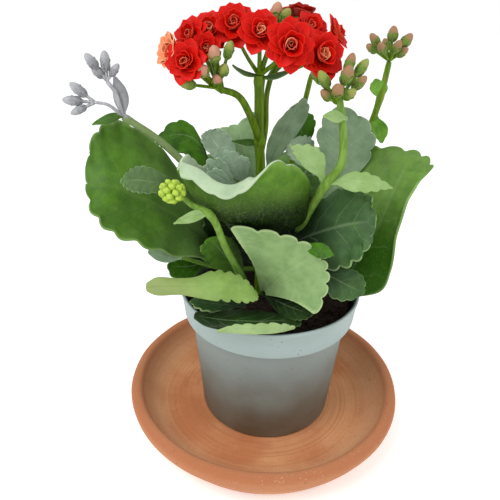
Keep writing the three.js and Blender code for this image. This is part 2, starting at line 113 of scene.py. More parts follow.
# ---------------------------------------------------------------- saucer
# Terracotta saucer, thrown on a wheel: a flat foot, a wide sloping wall and a rounded,
# rolled rim. Fine throwing rings run round the inside, and lime has bloomed on the rim.
SAUCER_X = -1.5
WALL_FROM, RIM_RADIUS = 58, 85
TURNED_SIDES = 72
SAUCER_OUTLINE = [(3, 0), (60, 0), (71, 0), (74, 1.2), (77, 5.4), (80, 9.8), (82.6, 14), (83.6, 15.6),
                  (84.8, 18.2), (85, 20.6), (84.2, 23), (82.4, 24.6), (80.4, 25), (78.6, 24.2),
                  (77.3, 22.6), (76.4, 20.4), (74.9, 17.6), (72.6, 14.5), (69.4, 11.8), (65.4, 9.8),
                  (61.6, 8.9), (58, 8.1), (50, 8), (30, 8), (3, 8)]


def colour(code):
    """Linear colour of a paint-chart code such as c77a4e."""
    parts = [int(code[k:k + 2], 16) / 255 for k in (0, 2, 4)]
    return [p / 12.92 if p < 0.04045 else ((p + 0.055) / 1.055) ** 2.4 for p in parts] + [1]


class Finish:
    """One material, put together node by node round its shader."""

    def __init__(self, name):
        self.material = bpy.data.materials.new(name)
        self.material.use_nodes = True
        self.tree = self.material.node_tree
        self.shader = self.tree.nodes["Principled BSDF"]
        self.place = self.node("TexCoord").outputs["Object"]
        self.across = self.node("TexCoord").outputs["UV"]

    def node(self, kind, **sockets):
        made = self.tree.nodes.new("ShaderNode" + kind)
        for key, value in sockets.items():
            self.feed(made.inputs[key.replace("_", " ")], value)
        return made

    def feed(self, socket, value):
        if isinstance(value, bpy.types.NodeSocket):
            self.tree.links.new(value, socket)
        elif isinstance(value, str):
            socket.default_value = colour(value)
        else:
            socket.default_value = value

    def sum(self, operation, *values):
        made = self.node("Math")
        made.operation = operation
        for socket, value in zip(made.inputs, values):
            self.feed(socket, value)
        return made.outputs[0]

    def times(self, first, second):
        return self.sum("MULTIPLY", first, second)

    def plus(self, first, second):
        return self.sum("ADD", first, second)

    def minus(self, first, second):
        return self.sum("SUBTRACT", first, second)

    def larger(self, first, second):
        return self.sum("MAXIMUM", first, second)

    def from_axis(self, x, y):
        """The distance of a place from the upright axis."""
        return self.sum("POWER", self.plus(self.times(x, x), self.times(y, y)), 0.5)

    def blade_axes(self):
        """Across the blade, how near its margins, and along it, each from 0 to 1."""
        s, t = (self.axis(self.across, k) for k in "XY")
        return s, self.times(self.sum("ABSOLUTE", self.minus(s, 0.5)), 2), t

    def mix(self, amount, first, second):
        made = self.node("Mix")
        made.data_type = "RGBA"
        self.feed(made.inputs[0], amount)
        self.feed(made.inputs[6], first)
        self.feed(made.inputs[7], second)
        return made.outputs[2]

    def span(self, value, low, high, to_low=0.0, to_high=1.0):
        """value between low and high, eased to the range given."""
        made = self.node("MapRange")
        made.interpolation_type = "SMOOTHSTEP"
        for key, number in zip(("Value", "From Min", "From Max", "To Min", "To Max"),
                               (value, low, high, to_low, to_high)):
            self.feed(made.inputs[key], number)
        return made.outputs[0]

    def cloud(self, size, detail=3.0, vector=None, stretch=None, rough=0.55):
        """Soft noise whose blots are about size millimetres across."""
        where = vector or self.place
        if stretch:
            moved = self.node("Mapping", Vector=where)
            moved.inputs["Scale"].default_value = stretch
            where = moved.outputs[0]
        made = self.node("TexNoise", Vector=where, Scale=1000 / size, Detail=detail, Roughness=rough)
        return made.outputs["Fac"]

    def axis(self, vector, name):
        return self.node("SeparateXYZ", Vector=vector).outputs[name]

    def surface(self, base, rough, relief, depth, **sockets):
        """Joins the colour, the roughness and the relief, depth millimetres deep."""
        self.feed(self.shader.inputs["Base Color"], base)
        self.feed(self.shader.inputs["Roughness"], rough)
        bump = self.node("Bump", Height=relief, Strength=1.0, Distance=depth * MM)
        self.feed(self.shader.inputs["Normal"], bump.outputs[0])
        for key, value in sockets.items():
            self.feed(self.shader.inputs[key.replace("_", " ")], value)
        return self.material


def edit():
    bpy.ops.object.mode_set(mode="EDIT")
    bpy.ops.mesh.select_mode(type="VERT")
    bpy.ops.mesh.select_all(action="SELECT")


def done():
    bpy.ops.object.mode_set(mode="OBJECT")


def choose(piece):
    clear_choice()
    piece.select_set(True)
    bpy.context.view_layer.objects.active = piece


def settle(piece):
    """Puts the piece's place into its mesh, so that its object stands at the origin."""
    choose(piece)
    bpy.ops.object.transform_apply(location=True, rotation=True, scale=True)


def apply_all(piece):
    choose(piece)
    for modifier in list(piece.modifiers):
        bpy.ops.object.modifier_apply(modifier=modifier.name)


def turn_up(name, outline, sides, x=0.0):
    """A ring is added at the outline's first point and drawn out ring by ring to its last."""
    clear_choice()
    r, z = outline[0]
    bpy.ops.mesh.primitive_circle_add(vertices=sides, radius=r * MM, fill_type="NOTHING",
                                      location=(x * MM, 0, z * MM))
    piece = bpy.context.object
    piece.name = name
    edit()
    for r_next, z_next in outline[1:]:
        bpy.ops.mesh.extrude_region_move(TRANSFORM_OT_translate={"value": (0, 0, (z_next - z) * MM)})
        bpy.ops.transform.resize(value=(r_next / r, r_next / r, 1),
                                 center_override=(x * MM, 0, z_next * MM))
        r, z = r_next, z_next
    bpy.ops.mesh.select_all(action="DESELECT")
    bpy.ops.mesh.select_non_manifold()
    bpy.ops.mesh.edge_collapse()
    bpy.ops.mesh.select_all(action="SELECT")
    bpy.ops.mesh.normals_make_consistent(inside=False)
    done()
    settle(piece)
    bpy.ops.object.shade_smooth()
    return piece


def soften(piece):
    smooth = piece.modifiers.new("smooth", "SUBSURF")
    smooth.levels = smooth.render_levels = 1
    apply_all(piece)


def stand_in(piece, slot, *nodes):
    """The piece rides on the plant's one body, in the place of these nodes of the frame."""
    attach(piece, "root")
    if nodes:
        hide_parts(*nodes)


saucer = turn_up("saucer_thrown", SAUCER_OUTLINE, TURNED_SIDES, SAUCER_X)
soften(saucer)
for corner in saucer.data.vertices:   # the wheel's slight wobble, strongest on the wall and rim
    flat = Vector((corner.co.x, corner.co.y, 0))
    reach = min(max((flat.length / MM - WALL_FROM) / (RIM_RADIUS - WALL_FROM), 0), 1)
    lean = noise.noise(flat * 22) * 0.7 + noise.noise(flat * 60) * 0.22
    if corner.co.z > 0.002:
        corner.co.z += lean * reach * 0.8 * MM
    corner.co += flat.normalized() * noise.noise(corner.co * 45) * reach * 0.35 * MM

clay = Finish("terracotta")
centred = clay.node("Mapping", Vector=clay.place)
centred.inputs["Location"].default_value = (-SAUCER_X * MM, 0, 0)
cx, cy = (clay.axis(centred.outputs[0], k) for k in "XY")
radius = clay.from_axis(cx, cy)
height = clay.axis(clay.place, "Z")
ring_place = clay.node("CombineXYZ", X=radius, Y=clay.times(height, 0.6),
                       Z=clay.times(clay.cloud(60, 1), 0.004)).outputs[0]
rings = clay.cloud(1.6, 3, ring_place, rough=0.6)
broad_rings = clay.cloud(6, 2, ring_place)
blots = clay.cloud(34, 4)
grain = clay.cloud(0.8, 3)
base = clay.mix(clay.span(blots, 0.35, 0.68), "bd784e", "d3986b")
base = clay.mix(clay.span(rings, 0.52, 0.68, 0, 0.42), base, "a8663f")
base = clay.mix(clay.span(broad_rings, 0.5, 0.7, 0, 0.35), base, "d8a177")
on_wall = clay.times(clay.span(radius, 0.060, 0.068), clay.span(height, 0.0085, 0.012))
base = clay.mix(clay.times(on_wall, 0.5), base, "dca880")
on_rim = clay.span(height, 0.0195, 0.0235)
base = clay.mix(clay.times(on_rim, 0.65), base, "b06a46")
outside = clay.span(radius, 0.0785, 0.0835)
base = clay.mix(clay.times(outside, 0.55), base, "a86642")
lime_place = clay.cloud(14, 3)
lime_dots = clay.cloud(1.1, 2)
front_right = clay.span(clay.minus(clay.times(cx, 0.45), cy), 0.045, 0.09)
lime_band = clay.times(clay.span(lime_dots, 0.62, 0.72), clay.times(on_rim, front_right))
lime = clay.times(clay.times(clay.span(lime_place, 0.5, 0.6), lime_band), 0.5)
base = clay.mix(lime, base, "ead9b8")
chips = clay.times(clay.span(clay.cloud(2.6, 2), 0.68, 0.75), 0.6)
base = clay.mix(chips, base, "8f5a3c")
base = clay.mix(clay.span(grain, 0.3, 0.7, 0, 0.2), base, "9c5e3c")
relief = clay.plus(clay.times(rings, 0.5), clay.times(grain, 0.35))
saucer.data.materials.append(clay.surface(base, clay.span(grain, 0.3, 0.7, 0.8, 0.94), relief, 0.45,
                                          Specular_IOR_Level=0.25))
stand_in(saucer, "saucer", "saucer")

# ---------------------------------------------------------------- pot
# Nursery pot, injection moulded in thin grey polypropylene with a deep rim band. Six
# drainage holes go through its floor, and the wall has two small notches at the foot.
POT_OUTLINE = [(3, 8.4), (36, 8.4), (39.2, 8.4), (40.1, 8.8), (40.5, 9.8), (43.3, 42), (46.1, 74.2),
               (46.4, 75.2), (47.2, 75.7), (49.4, 75.7), (50.3, 76), (50.6, 77), (51.3, 83),
               (52, 89.4), (52.6, 90.7), (52.7, 91.6), (52.4, 92.4), (51.4, 92.5), (50.9, 92),
               (50.2, 84), (49, 76.9), (45.2, 74.6), (44.7, 73.6), (41.9, 42), (39.1, 10.6),
               (38.6, 9.9), (36, 9.8), (3, 9.8)]
NOTCHES = (-0.13, 3.33)      # radians round the foot
HOLES, HOLE_RADIUS = 6, 4
WALL_SLOPE = 0.1095          # how much the pot widens for each unit of height

pot = turn_up("pot_moulded", POT_OUTLINE, TURNED_SIDES)


def on_floor(reach, turn):
    """A place in the thickness of the pot's floor."""
    return (reach * MM * math.cos(turn), reach * MM * math.sin(turn), 9 * MM)


clear_choice()
cutters = []
for k in range(HOLES):
    bpy.ops.mesh.primitive_cylinder_add(vertices=24, radius=HOLE_RADIUS * MM, depth=6 * MM,
                                        location=on_floor(30, (k + 0.5) / HOLES * math.tau))
    cutters.append(bpy.context.object)
for turn in NOTCHES:
    bpy.ops.mesh.primitive_cube_add(size=1, location=on_floor(40, turn), rotation=(0, 0, turn),
                                    scale=(4 * MM, 5 * MM, 3.4 * MM))
    cutters.append(bpy.context.object)
for cutter in cutters:
    opening = pot.modifiers.new("opening", "BOOLEAN")
    opening.object, opening.operation, opening.solver = cutter, "DIFFERENCE", "EXACT"
apply_all(pot)
for cutter in cutters:
    bpy.data.objects.remove(cutter)
settle(pot)
bpy.ops.object.shade_smooth_by_angle(angle=math.radians(32))

plastic = Finish("grey_polypropylene")
px, py, pz = (plastic.axis(plastic.place, k) for k in "XYZ")
out = plastic.from_axis(px, py)
mottle = plastic.cloud(22, 3)
fine = plastic.cloud(0.7, 2)
# painted shade and a painted reflection of the terracotta saucer: the wall darkens and browns towards its
# foot and lightens towards the rim band
wall_shade_and_bounce = plastic.mix(plastic.span(pz, 0.012, 0.058), "605a4a", "6e736d")
wall_shade_and_bounce = plastic.mix(plastic.span(pz, 0.045, 0.0745), wall_shade_and_bounce, "828c89")
skin = plastic.mix(plastic.span(pz, 0.0752, 0.0756), wall_shade_and_bounce, "9cadaa")
skin = plastic.mix(plastic.span(mottle, 0.3, 0.7, 0, 0.25), skin, "8d9895")
# painted shade: the inside of the wall above the soil and the inner edge of the lip are darkened
inward = plastic.span(plastic.minus(out, plastic.times(pz, WALL_SLOPE)), 0.0409, 0.0412, 1, 0)
inside_wall_shade = plastic.times(inward, plastic.span(pz, 0.0765, 0.078))
skin = plastic.mix(plastic.times(inside_wall_shade, 0.85), skin, "3b4140")
lip_inner_shade = plastic.times(plastic.span(pz, 0.0916, 0.0921), plastic.span(out, 0.0519, 0.0516))
skin = plastic.mix(plastic.times(lip_inner_shade, 0.8), skin, "4a5250")
dirt = plastic.times(plastic.span(plastic.cloud(1.7, 1), 0.735, 0.76), 0.7)
skin = plastic.mix(dirt, skin, "5a534a")
pot.data.materials.append(plastic.surface(skin, plastic.span(mottle, 0.3, 0.7, 0.5, 0.62), fine, 0.05,
                                          Specular_IOR_Level=0.4))
stand_in(pot, "pot", "pot")

# ---------------------------------------------------------------- soil
# Dark, damp peat compost with loose crumbs on top. It fills the pot to less than a
# finger's width below the rim.
SOIL_OUTLINE = [(3, 11.5), (38, 11.5), (43.6, 73.5), (48, 78.5), (48.9, 83.8), (47.4, 84.8), (44, 85.2),
                (38, 85), (30, 85.2), (22, 85), (14, 85.5), (8, 85.7), (3, 85.8)]
CRUMBS, SOIL_TOP, SOIL_REACH = 420, 85.6, 48
soil = turn_up("soil_bed", SOIL_OUTLINE, TURNED_SIDES)
soften(soil)
for corner in soil.data.vertices:
    if corner.co.z > 83 * MM:
        lumps = noise.noise(corner.co * 130) * 1.2 + noise.noise(corner.co * 420) * 0.9
        corner.co.z += lumps * MM
clear_choice()
bpy.ops.mesh.primitive_ico_sphere_add(subdivisions=1, radius=MM, location=(0, 0, 0))
crumb = bpy.context.object
crumbs = []
for k in range(CRUMBS):
    turn, reach = random.uniform(0, math.tau), SOIL_REACH * math.sqrt(random.random())
    made = crumb.copy()
    made.data = crumb.data.copy()
    bpy.context.collection.objects.link(made)
    size = random.uniform(0.5, 1.5)
    height_here = SOIL_TOP + random.uniform(-0.4, 0.7) - max(reach - 45, 0) * 0.3
    spot = Matrix.Translation(Vector((reach * math.cos(turn), reach * math.sin(turn), height_here)) * MM)
    lie = Matrix.Rotation(random.uniform(0, 6), 4, "Z") @ Matrix.Rotation(random.uniform(0, 6), 4, "X")
    shape = Matrix.Diagonal((size, size * random.uniform(0.5, 0.9), size * 0.7, 1))
    made.data.transform(spot @ lie @ shape)
    crumbs.append(made)
bpy.data.objects.remove(crumb)


def join(name, parts):
    """Several parts made one mesh, each keeping a single surface map called blade."""
    clear_choice()
    for part in parts:
        maps = part.data.uv_layers
        for spare in [m.name for m in maps if m.name != "blade"]:
            if len(maps) > 1:
                maps.remove(maps[spare])
        (maps[0] if maps else maps.new()).name = "blade"
        part.select_set(True)
    bpy.context.view_layer.objects.active = parts[0]
    if len(parts) > 1:
        bpy.ops.object.join()
    parts[0].name = name
    return parts[0]


crumbs = join("soil_crumbs", crumbs)
peat = Finish("peat_compost")
lumps = peat.cloud(1.8, 4)
base = peat.mix(peat.span(lumps, 0.35, 0.7), "120d0b", "33241b")
base = peat.mix(peat.span(peat.cloud(2.4, 2), 0.66, 0.74, 0, 0.6), base, "5a3a2c")
peat.surface(base, 0.95, lumps, 0.8, Specular_IOR_Level=0.2)
for piece in (soil, crumbs):
    piece.data.materials.append(peat.material)
stand_in(soil, "soil", "soil")
stand_in(crumbs, "soil")

# ---------------------------------------------------------------- leaves
# Fleshy, waxy blades grown in one piece with their short stalks. Their margins are
# scalloped; a pale bloom lies on the young ones, and the undersides are lighter.
# Each is given by five points: base, middle of the rib, tip, left and right margin.
LEAVES = {
    "leaf_west": [(-18, -8, 110), (-59, -24, 149), (-93, -26, 162), (-60, -48, 136), (-68, 0, 181)],
    "leaf_east_scalloped": [(1, -12, 119), (27, -30, 142), (47, -40, 151), (29, -22, 161), (28, -42, 124)],
    "leaf_northeast_round": [(26, -4, 147), (35, 2, 171), (35, 14, 193), (20, 0, 175), (52, 2, 172)],
    "leaf_west_toothed": [(-45, -24, 158), (-60, -36, 167), (-72, -42, 169), (-61, -40, 162),
                          (-60, -32, 173)],
    "leaf_west_arched": [(-35, 4, 151), (-43, 8, 175), (-63, 4, 175), (-48, -2, 169), (-46, 14, 182)],
    "leaf_north_tall": [(-5, 2, 158), (3, 8, 180), (14, 14, 197), (-4, 6, 178), (13, 10, 181)],
    "leaf_north_dark": [(14, 8, 166), (14, 16, 179), (15, 22, 189), (8, 14, 179), (22, 18, 180)],
    "leaf_north_toothed": [(22, 0, 160), (15, 4, 170), (8, 8, 176), (8, 2, 167), (21, 8, 176)],
    "leaf_north_pale": [(-10, 12, 147), (-17, 18, 167), (-21, 24, 180), (-32, 16, 169), (-6, 24, 181)],
    "leaf_northwest": [(-19, 0, 157), (-30, 8, 170), (-37, 12, 179), (-37, 6, 170), (-23, 12, 175)],
    "leaf_rosette_upper": [(-16, -10, 157), (-23, -10, 168), (-30, -8, 175), (-29, -14, 165), (-17, -6, 170)],
    "leaf_rosette_lower": [(-20, -18, 157), (-28, -20, 165), (-34, -20, 172), (-34, -24, 165),
                           (-24, -16, 169)],
    "leaf_south_dark": [(-5, -22, 99), (7, -36, 100), (20, -46, 101), (11, -32, 103), (5, -42, 97)],
    "leaf_southwest_low": [(-14, -24, 91), (-29, -38, 101), (-42, -44, 106), (-29, -44, 100),
                           (-30, -32, 102)],
    "leaf_southwest_inner": [(-15, -14, 103), (-26, -22, 122), (-34, -24, 132), (-35, -28, 119),
                             (-19, -16, 125)],
    "leaf_west_low": [(-34, -14, 113), (-46, -20, 113), (-56, -26, 116), (-46, -26, 107), (-47, -14, 119)],
    "leaf_south_pointed": [(-5, -12, 116), (-13, -22, 136), (-19, -28, 149), (-16, -26, 134),
                           (-10, -18, 136)],
    "leaf_southeast_small": [(10, -40, 138), (19, -49, 140), (26, -54, 140), (20, -47, 143), (18, -51, 137)],
    "leaf_southeast_low": [(20, -28, 120), (33, -36, 116), (46, -40, 111), (41, -30, 120), (28, -42, 110)],
    "leaf_core_west": [(-5, -2, 99), (-21, -8, 127), (-33, -14, 147), (-33, -14, 123), (-9, -4, 141)],
    "leaf_core_east": [(-2, -2, 102), (11, -6, 127), (24, -10, 150), (-1, -2, 140), (23, -12, 123)],
    "leaf_back_east": [(12, 6, 112), (44, 30, 136), (76, 46, 130), (30, 52, 128), (60, 10, 128)],
    "leaf_back_northeast": [(6, 10, 128), (26, 44, 156), (42, 74, 148), (-2, 56, 150), (52, 34, 148)],
    "leaf_back_north": [(-2, 12, 112), (2, 50, 132), (4, 84, 120), (-27, 50, 124), (31, 50, 124)],
    "leaf_back_northwest": [(-8, 10, 130), (-30, 40, 154), (-48, 68, 144), (-54, 24, 146), (-6, 56, 146)],
    "leaf_back_west": [(-10, 4, 108), (-46, 26, 126), (-76, 40, 116), (-56, 0, 118), (-36, 52, 118)],
    "leaf_back_low": [(2, 14, 98), (22, 42, 106), (34, 66, 98), (2, 54, 102), (44, 32, 102)],
}
# Scallops a side, how deep, how full the outline is, and the finish of each face.
USUAL = {"lobes": 4.5, "depth": 0.13, "full": 0.62, "rows": 44, "cols": 18, "face": "usual"}
LEAF_FORM = {
    "leaf_west": {"lobes": 5.5, "depth": 0.065, "full": 0.5, "rows": 70, "cols": 28, "face": "broad"},
    "leaf_east_scalloped": {"lobes": 5.5, "depth": 0.16, "full": 0.5, "rows": 64, "cols": 26,
                            "face": "dusky"},
    "leaf_northeast_round": {"lobes": 3.5, "depth": 0.16, "full": 0.5, "rows": 56, "cols": 26,
                             "face": "silver"},
    "leaf_west_toothed": {"face": "silver_green", "lobes": 6.5, "depth": 0.2, "rows": 66, "cols": 20},
    "leaf_west_arched": {"face": "rich", "lobes": 3.5, "full": 0.5},
    "leaf_north_tall": {"face": "silver", "lobes": 3.5, "depth": 0.08},
    "leaf_north_dark": {"face": "rich", "lobes": 3.5},
    "leaf_north_toothed": {"face": "rosette", "lobes": 5.5, "depth": 0.2},
    "leaf_north_pale": {"face": "misty", "depth": 0.16, "full": 0.5},
    "leaf_northwest": {"face": "rosette", "depth": 0.16, "full": 0.55},
    "leaf_rosette_upper": {"face": "rosette", "lobes": 5.5, "depth": 0.24, "rows": 56},
    "leaf_rosette_lower": {"face": "rosette", "depth": 0.24, "rows": 56},
    "leaf_south_dark": {"face": "deep", "lobes": 6.5, "depth": 0.1},
    "leaf_southwest_low": {"face": "dusky"},
    "leaf_southwest_inner": {"face": "fresh", "lobes": 5.5, "full": 0.5},
    "leaf_west_low": {"face": "rich"},
    "leaf_south_pointed": {"face": "rich", "full": 0.8},
    "leaf_southeast_small": {"face": "rich", "full": 0.9, "depth": 0.05},
    "leaf_southeast_low": {"face": "dusky"},
    "leaf_core_west": {"face": "deep"},
    "leaf_core_east": {"face": "deep"},
}
LEAF_THICK = 1.3
SMOOTH_BASE = 0.2      # the share of the blade, from its foot, that has no scallops


def leaf_surface(points, full, stalk=0.1, peak=0.55):
    """Where the blade lies: u from base to tip, v from the left margin to the right."""
    base, middle, tip, left, right = (Vector(p) for p in points)
    to_left, to_right = left - middle, right - middle
    power = math.log(0.5) / math.log(peak)
    neck = min(0.3, 1.6 / to_left.length)

    def at(u, v):
        rib = base * (1 - u) * (1 - 2 * u) + middle * 4 * u * (1 - u) + tip * u * (2 * u - 1)
        w = max(0, (u - stalk) / (1 - stalk))
        wide = max(0.0, math.sin(math.pi * min(w, 1) ** power)) ** full
        wide = max(neck * min(1, (1 - u) * 12), wide)
        return rib + to_right * wide * (v + v * v) / 2 + to_left * wide * (v * v - v) / 2
    return at


def scallop(t, v, lobes, depth):
    """How far a point is drawn in towards the blade's middle: rounded lobes, sharp notches."""
    s = (t - SMOOTH_BASE) / (1 - SMOOTH_BASE)
    if s <= 0:
        return 0
    closeness = max(abs(v), (t - 0.82) / 0.18, 0)
    return depth * (1 - abs(math.sin(math.pi * lobes * s)) ** 0.5) * closeness ** 3 * min(1, s * 5)


def thin_sheet(name, cols, rows):
    """A flat grid with its surface map called blade: across it and along it."""
    clear_choice()
    bpy.ops.mesh.primitive_grid_add(x_subdivisions=cols, y_subdivisions=rows, size=2, location=(0, 0, 0))
    sheet = bpy.context.object
    sheet.name = name
    sheet.data.uv_layers[0].name = "blade"
    return sheet


def give_flesh(sheet, face, under, thick):
    """Two skins and the thickness between them."""
    sheet.data.materials.append(face)
    sheet.data.materials.append(under)
    flesh = sheet.modifiers.new("flesh", "SOLIDIFY")
    flesh.thickness, flesh.offset = thick, 0
    flesh.material_offset, flesh.material_offset_rim = 1, 0


def grow_blade(name, at, face, under, rows, cols, wave, thick=LEAF_THICK, lobes=4.5, depth=0.0):
    """A sheet is laid over the surface, rippled towards its margin and given its flesh."""
    blade = thin_sheet(name, cols, rows)
    seed = Vector((sum(map(ord, name)) % 97, 3, 5))
    places = [((c.co.y + 1) / 2, c.co.x) for c in blade.data.vertices]
    middle = at(0.5, 0)
    for corner, (t, v) in zip(blade.data.vertices, places):
        point = at(0.55 * t + 0.45 * (1 - (1 - t) ** 1.9), v)
        if depth:
            point += (middle - point) * scallop(t, v, lobes, depth)
        corner.co = point
    blade.data.update()
    ups = [corner.normal.copy() for corner in blade.data.vertices]
    for corner, up, (t, v) in zip(blade.data.vertices, ups, places):
        edge = max(abs(v), (t - 0.8) / 0.2, 0) ** 3
        toothed = math.tau * lobes * (t - SMOOTH_BASE) / (1 - SMOOTH_BASE)
        crimp = edge * math.cos(toothed) * min(t * 3, 1) * 0.6
        groove = 0.9 * math.exp(-(v / 0.09) ** 2) * (1 - t)
        ripple = wave * (crimp + noise.noise(corner.co * 0.06 + seed) * 1.8 - groove)
        corner.co = (corner.co + up * ripple) * MM
    give_flesh(blade, face, under, thick * MM)
    soften(blade)
    bpy.ops.object.shade_smooth()
    return blade


VEIN_SLANT = 1.4
# painted shade: the middle and the size of the ellipsoid round the crown inside which leaf skins are darkened
CROWN_SHADE_PLACE, CROWN_SHADE_SIZE = (-0.05, 0.15, -2.9), (22, 24, 25)    # where light hardly reaches


def leaf_finish(name, deep, light, bloom, wax, vein="9fb68a", vein_amount=0.3, edge=0.25, edge_tone="a9c07f",
                base_colour_and_shade=None, base_reach=0.4, ribs=6, fan=False, rough=0.5, low_colour_and_shade=None,
                low=(0.13, 0.17), core=0.8):
    """Waxy leaf skin: blotched green, bloom, branching veins and a thin light margin.

    Painted shade: deep in the crown, where little light reaches, the skin is darkened towards near-black, as
    strongly as the core-shade amount says. The low colour darkens a blade towards the bottom and the base
    colour darkens its foot, and on some finishes these are painted shade too."""
    skin = Finish(name)
    s, side, t = skin.blade_axes()
    wobble = skin.cloud(9, 2)
    if fan:
        line = skin.plus(skin.times(s, float(ribs)), skin.times(wobble, 0.5))
    else:
        line = skin.minus(skin.times(t, float(ribs)), skin.times(side, VEIN_SLANT))
        line = skin.plus(line, skin.times(wobble, 0.6))
    wave = skin.sum("ABSOLUTE", skin.minus(skin.sum("FRACT", line), 0.5))
    veins = skin.times(skin.span(wave, 0.05, 0.0), skin.span(side, 1.0, 0.35))
    midrib = skin.times(skin.span(side, 0.07, 0.0), skin.span(t, 1.0, 0.5))
    lines = skin.larger(skin.times(veins, 0.7), midrib)
    blots = skin.cloud(16, 3)
    small = skin.cloud(4, 3)
    speck = skin.cloud(0.9, 2)
    patches = skin.plus(skin.times(blots, 0.7), skin.times(small, 0.3))
    base = skin.mix(skin.span(patches, 0.34, 0.66), deep, light)
    # the colour towards the blade's foot: the grey and pale bases are the leaf's own colour, and on the dusky
    # finish it is painted shade
    if base_colour_and_shade:
        base = skin.mix(skin.span(t, base_reach, 0.05, 0, 0.85), base, base_colour_and_shade)
    film = skin.times(skin.span(skin.cloud(11, 4), 0.3, 0.7, 0.35, 1.0), wax)
    base = skin.mix(film, base, bloom)
    # painted shade: below the given heights the blade darkens towards the low colour
    if low_colour_and_shade:
        base = skin.mix(skin.span(skin.axis(skin.place, "Z"), low[1], low[0], 0, 0.97), base, low_colour_and_shade)
    # painted shade: near-black green mixed in inside the ellipsoid round the crown
    if core:
        crown = skin.node("Mapping", Vector=skin.place)
        crown.inputs["Location"].default_value = CROWN_SHADE_PLACE
        crown.inputs["Scale"].default_value = CROWN_SHADE_SIZE
        deep_in = skin.node("VectorMath", Vector=crown.outputs[0])
        deep_in.operation = "LENGTH"
        base = skin.mix(skin.span(deep_in.outputs["Value"], 1.25, 0.55, 0, core), base, "0a1c05")
    base = skin.mix(skin.times(lines, vein_amount), base, vein)
    base = skin.mix(skin.span(speck, 0.5, 0.72, 0, 0.32), base, light)
    margin = skin.larger(skin.span(side, 0.93, 1.0), skin.span(t, 0.975, 1.0))
    base = skin.mix(skin.times(margin, edge), base, edge_tone)
    grains = skin.plus(skin.times(small, 0.6), skin.times(speck, 0.2))
    relief = skin.plus(skin.times(lines, -0.22), grains)
    return skin.surface(base, skin.span(small, 0.3, 0.7, rough - 0.12, rough + 0.1), relief, 0.55,
                        Specular_IOR_Level=0.18)


FACES = {
    "broad": leaf_finish("leaf_broad_green", "36600c", "4f7c14", "6a8650", 0.22, base_colour_and_shade="4e6a3a",
                         base_reach=0.55, ribs=7, vein="7a9850", vein_amount=0.2),
    "usual": leaf_finish("leaf_green", "24460c", "4a7620", "607e42", 0.16),
    "rich": leaf_finish("leaf_rich_green", "224a04", "44780c", "56802a", 0.1, ribs=5),
    # partly the leaves' own dark green and partly painted shade: near-black for leaves that lie in the shadow
    # of others
    "deep": leaf_finish("leaf_deep_green_and_shade", "0e1f07", "1f3d0d", "34502a", 0.16, ribs=6, edge_tone="6f9048"),
    # painted shade: the near-black base colour of this finish stands for the shadow on the feet of these
    # blades
    "dusky": leaf_finish("leaf_dusky_green", "264814", "42652a", "66866a", 0.28, base_colour_and_shade="0c2404",
                         base_reach=0.6, ribs=5, edge=0.5, edge_tone="a3bd80"),
    "fresh": leaf_finish("leaf_fresh_green", "467a16", "70a630", "84a858", 0.12, edge=0.4),
    "silver": leaf_finish("leaf_silver_bloom", "54714c", "76926c", "9bb097", 0.45, vein="b3c4ac",
                          vein_amount=0.35, ribs=7, edge=0.35, edge_tone="b0c2a2", rough=0.6),
    "silver_green": leaf_finish("leaf_silver_green", "3c5a2a", "5d7c44", "809a70", 0.3, vein="a2b88c",
                                vein_amount=0.35, ribs=8, edge=0.3, edge_tone="a8bd94", rough=0.6),
    "rosette": leaf_finish("leaf_rosette_bloom", "6a8868", "8ea88a", "adbfac", 0.5, vein="c8d4c6",
                           vein_amount=0.5, ribs=7, edge=0.6, edge_tone="c2cfbe", rough=0.62, core=0.3),
    "misty": leaf_finish("leaf_misty_green", "749a62", "94b680", "aac4a0", 0.35, vein="bccfae",
                         vein_amount=0.3, rough=0.58, core=0.2),
}
UNDER = leaf_finish("leaf_underside", "4f7a2a", "6c9844", "86a468", 0.2, vein="a8c488", vein_amount=0.25,
                    rough=0.6)
UNDER_PALE = leaf_finish("leaf_underside_pale", "7c9a58", "96b272", "b0c098", 0.3, rough=0.6, core=0)


for node, points in LEAVES.items():
    form = {**USUAL, **LEAF_FORM.get(node, {})}
    surface = leaf_surface(points, form["full"])
    size = max((Vector(points[2]) - Vector(points[0])).length / 60, 0.35)
    blade = grow_blade(node + "_blade", surface, FACES[form["face"]], UNDER, rows=form["rows"],
                       cols=form["cols"], wave=0.9 * size, lobes=form["lobes"], depth=form["depth"])
    stand_in(blade, "leaves", node)

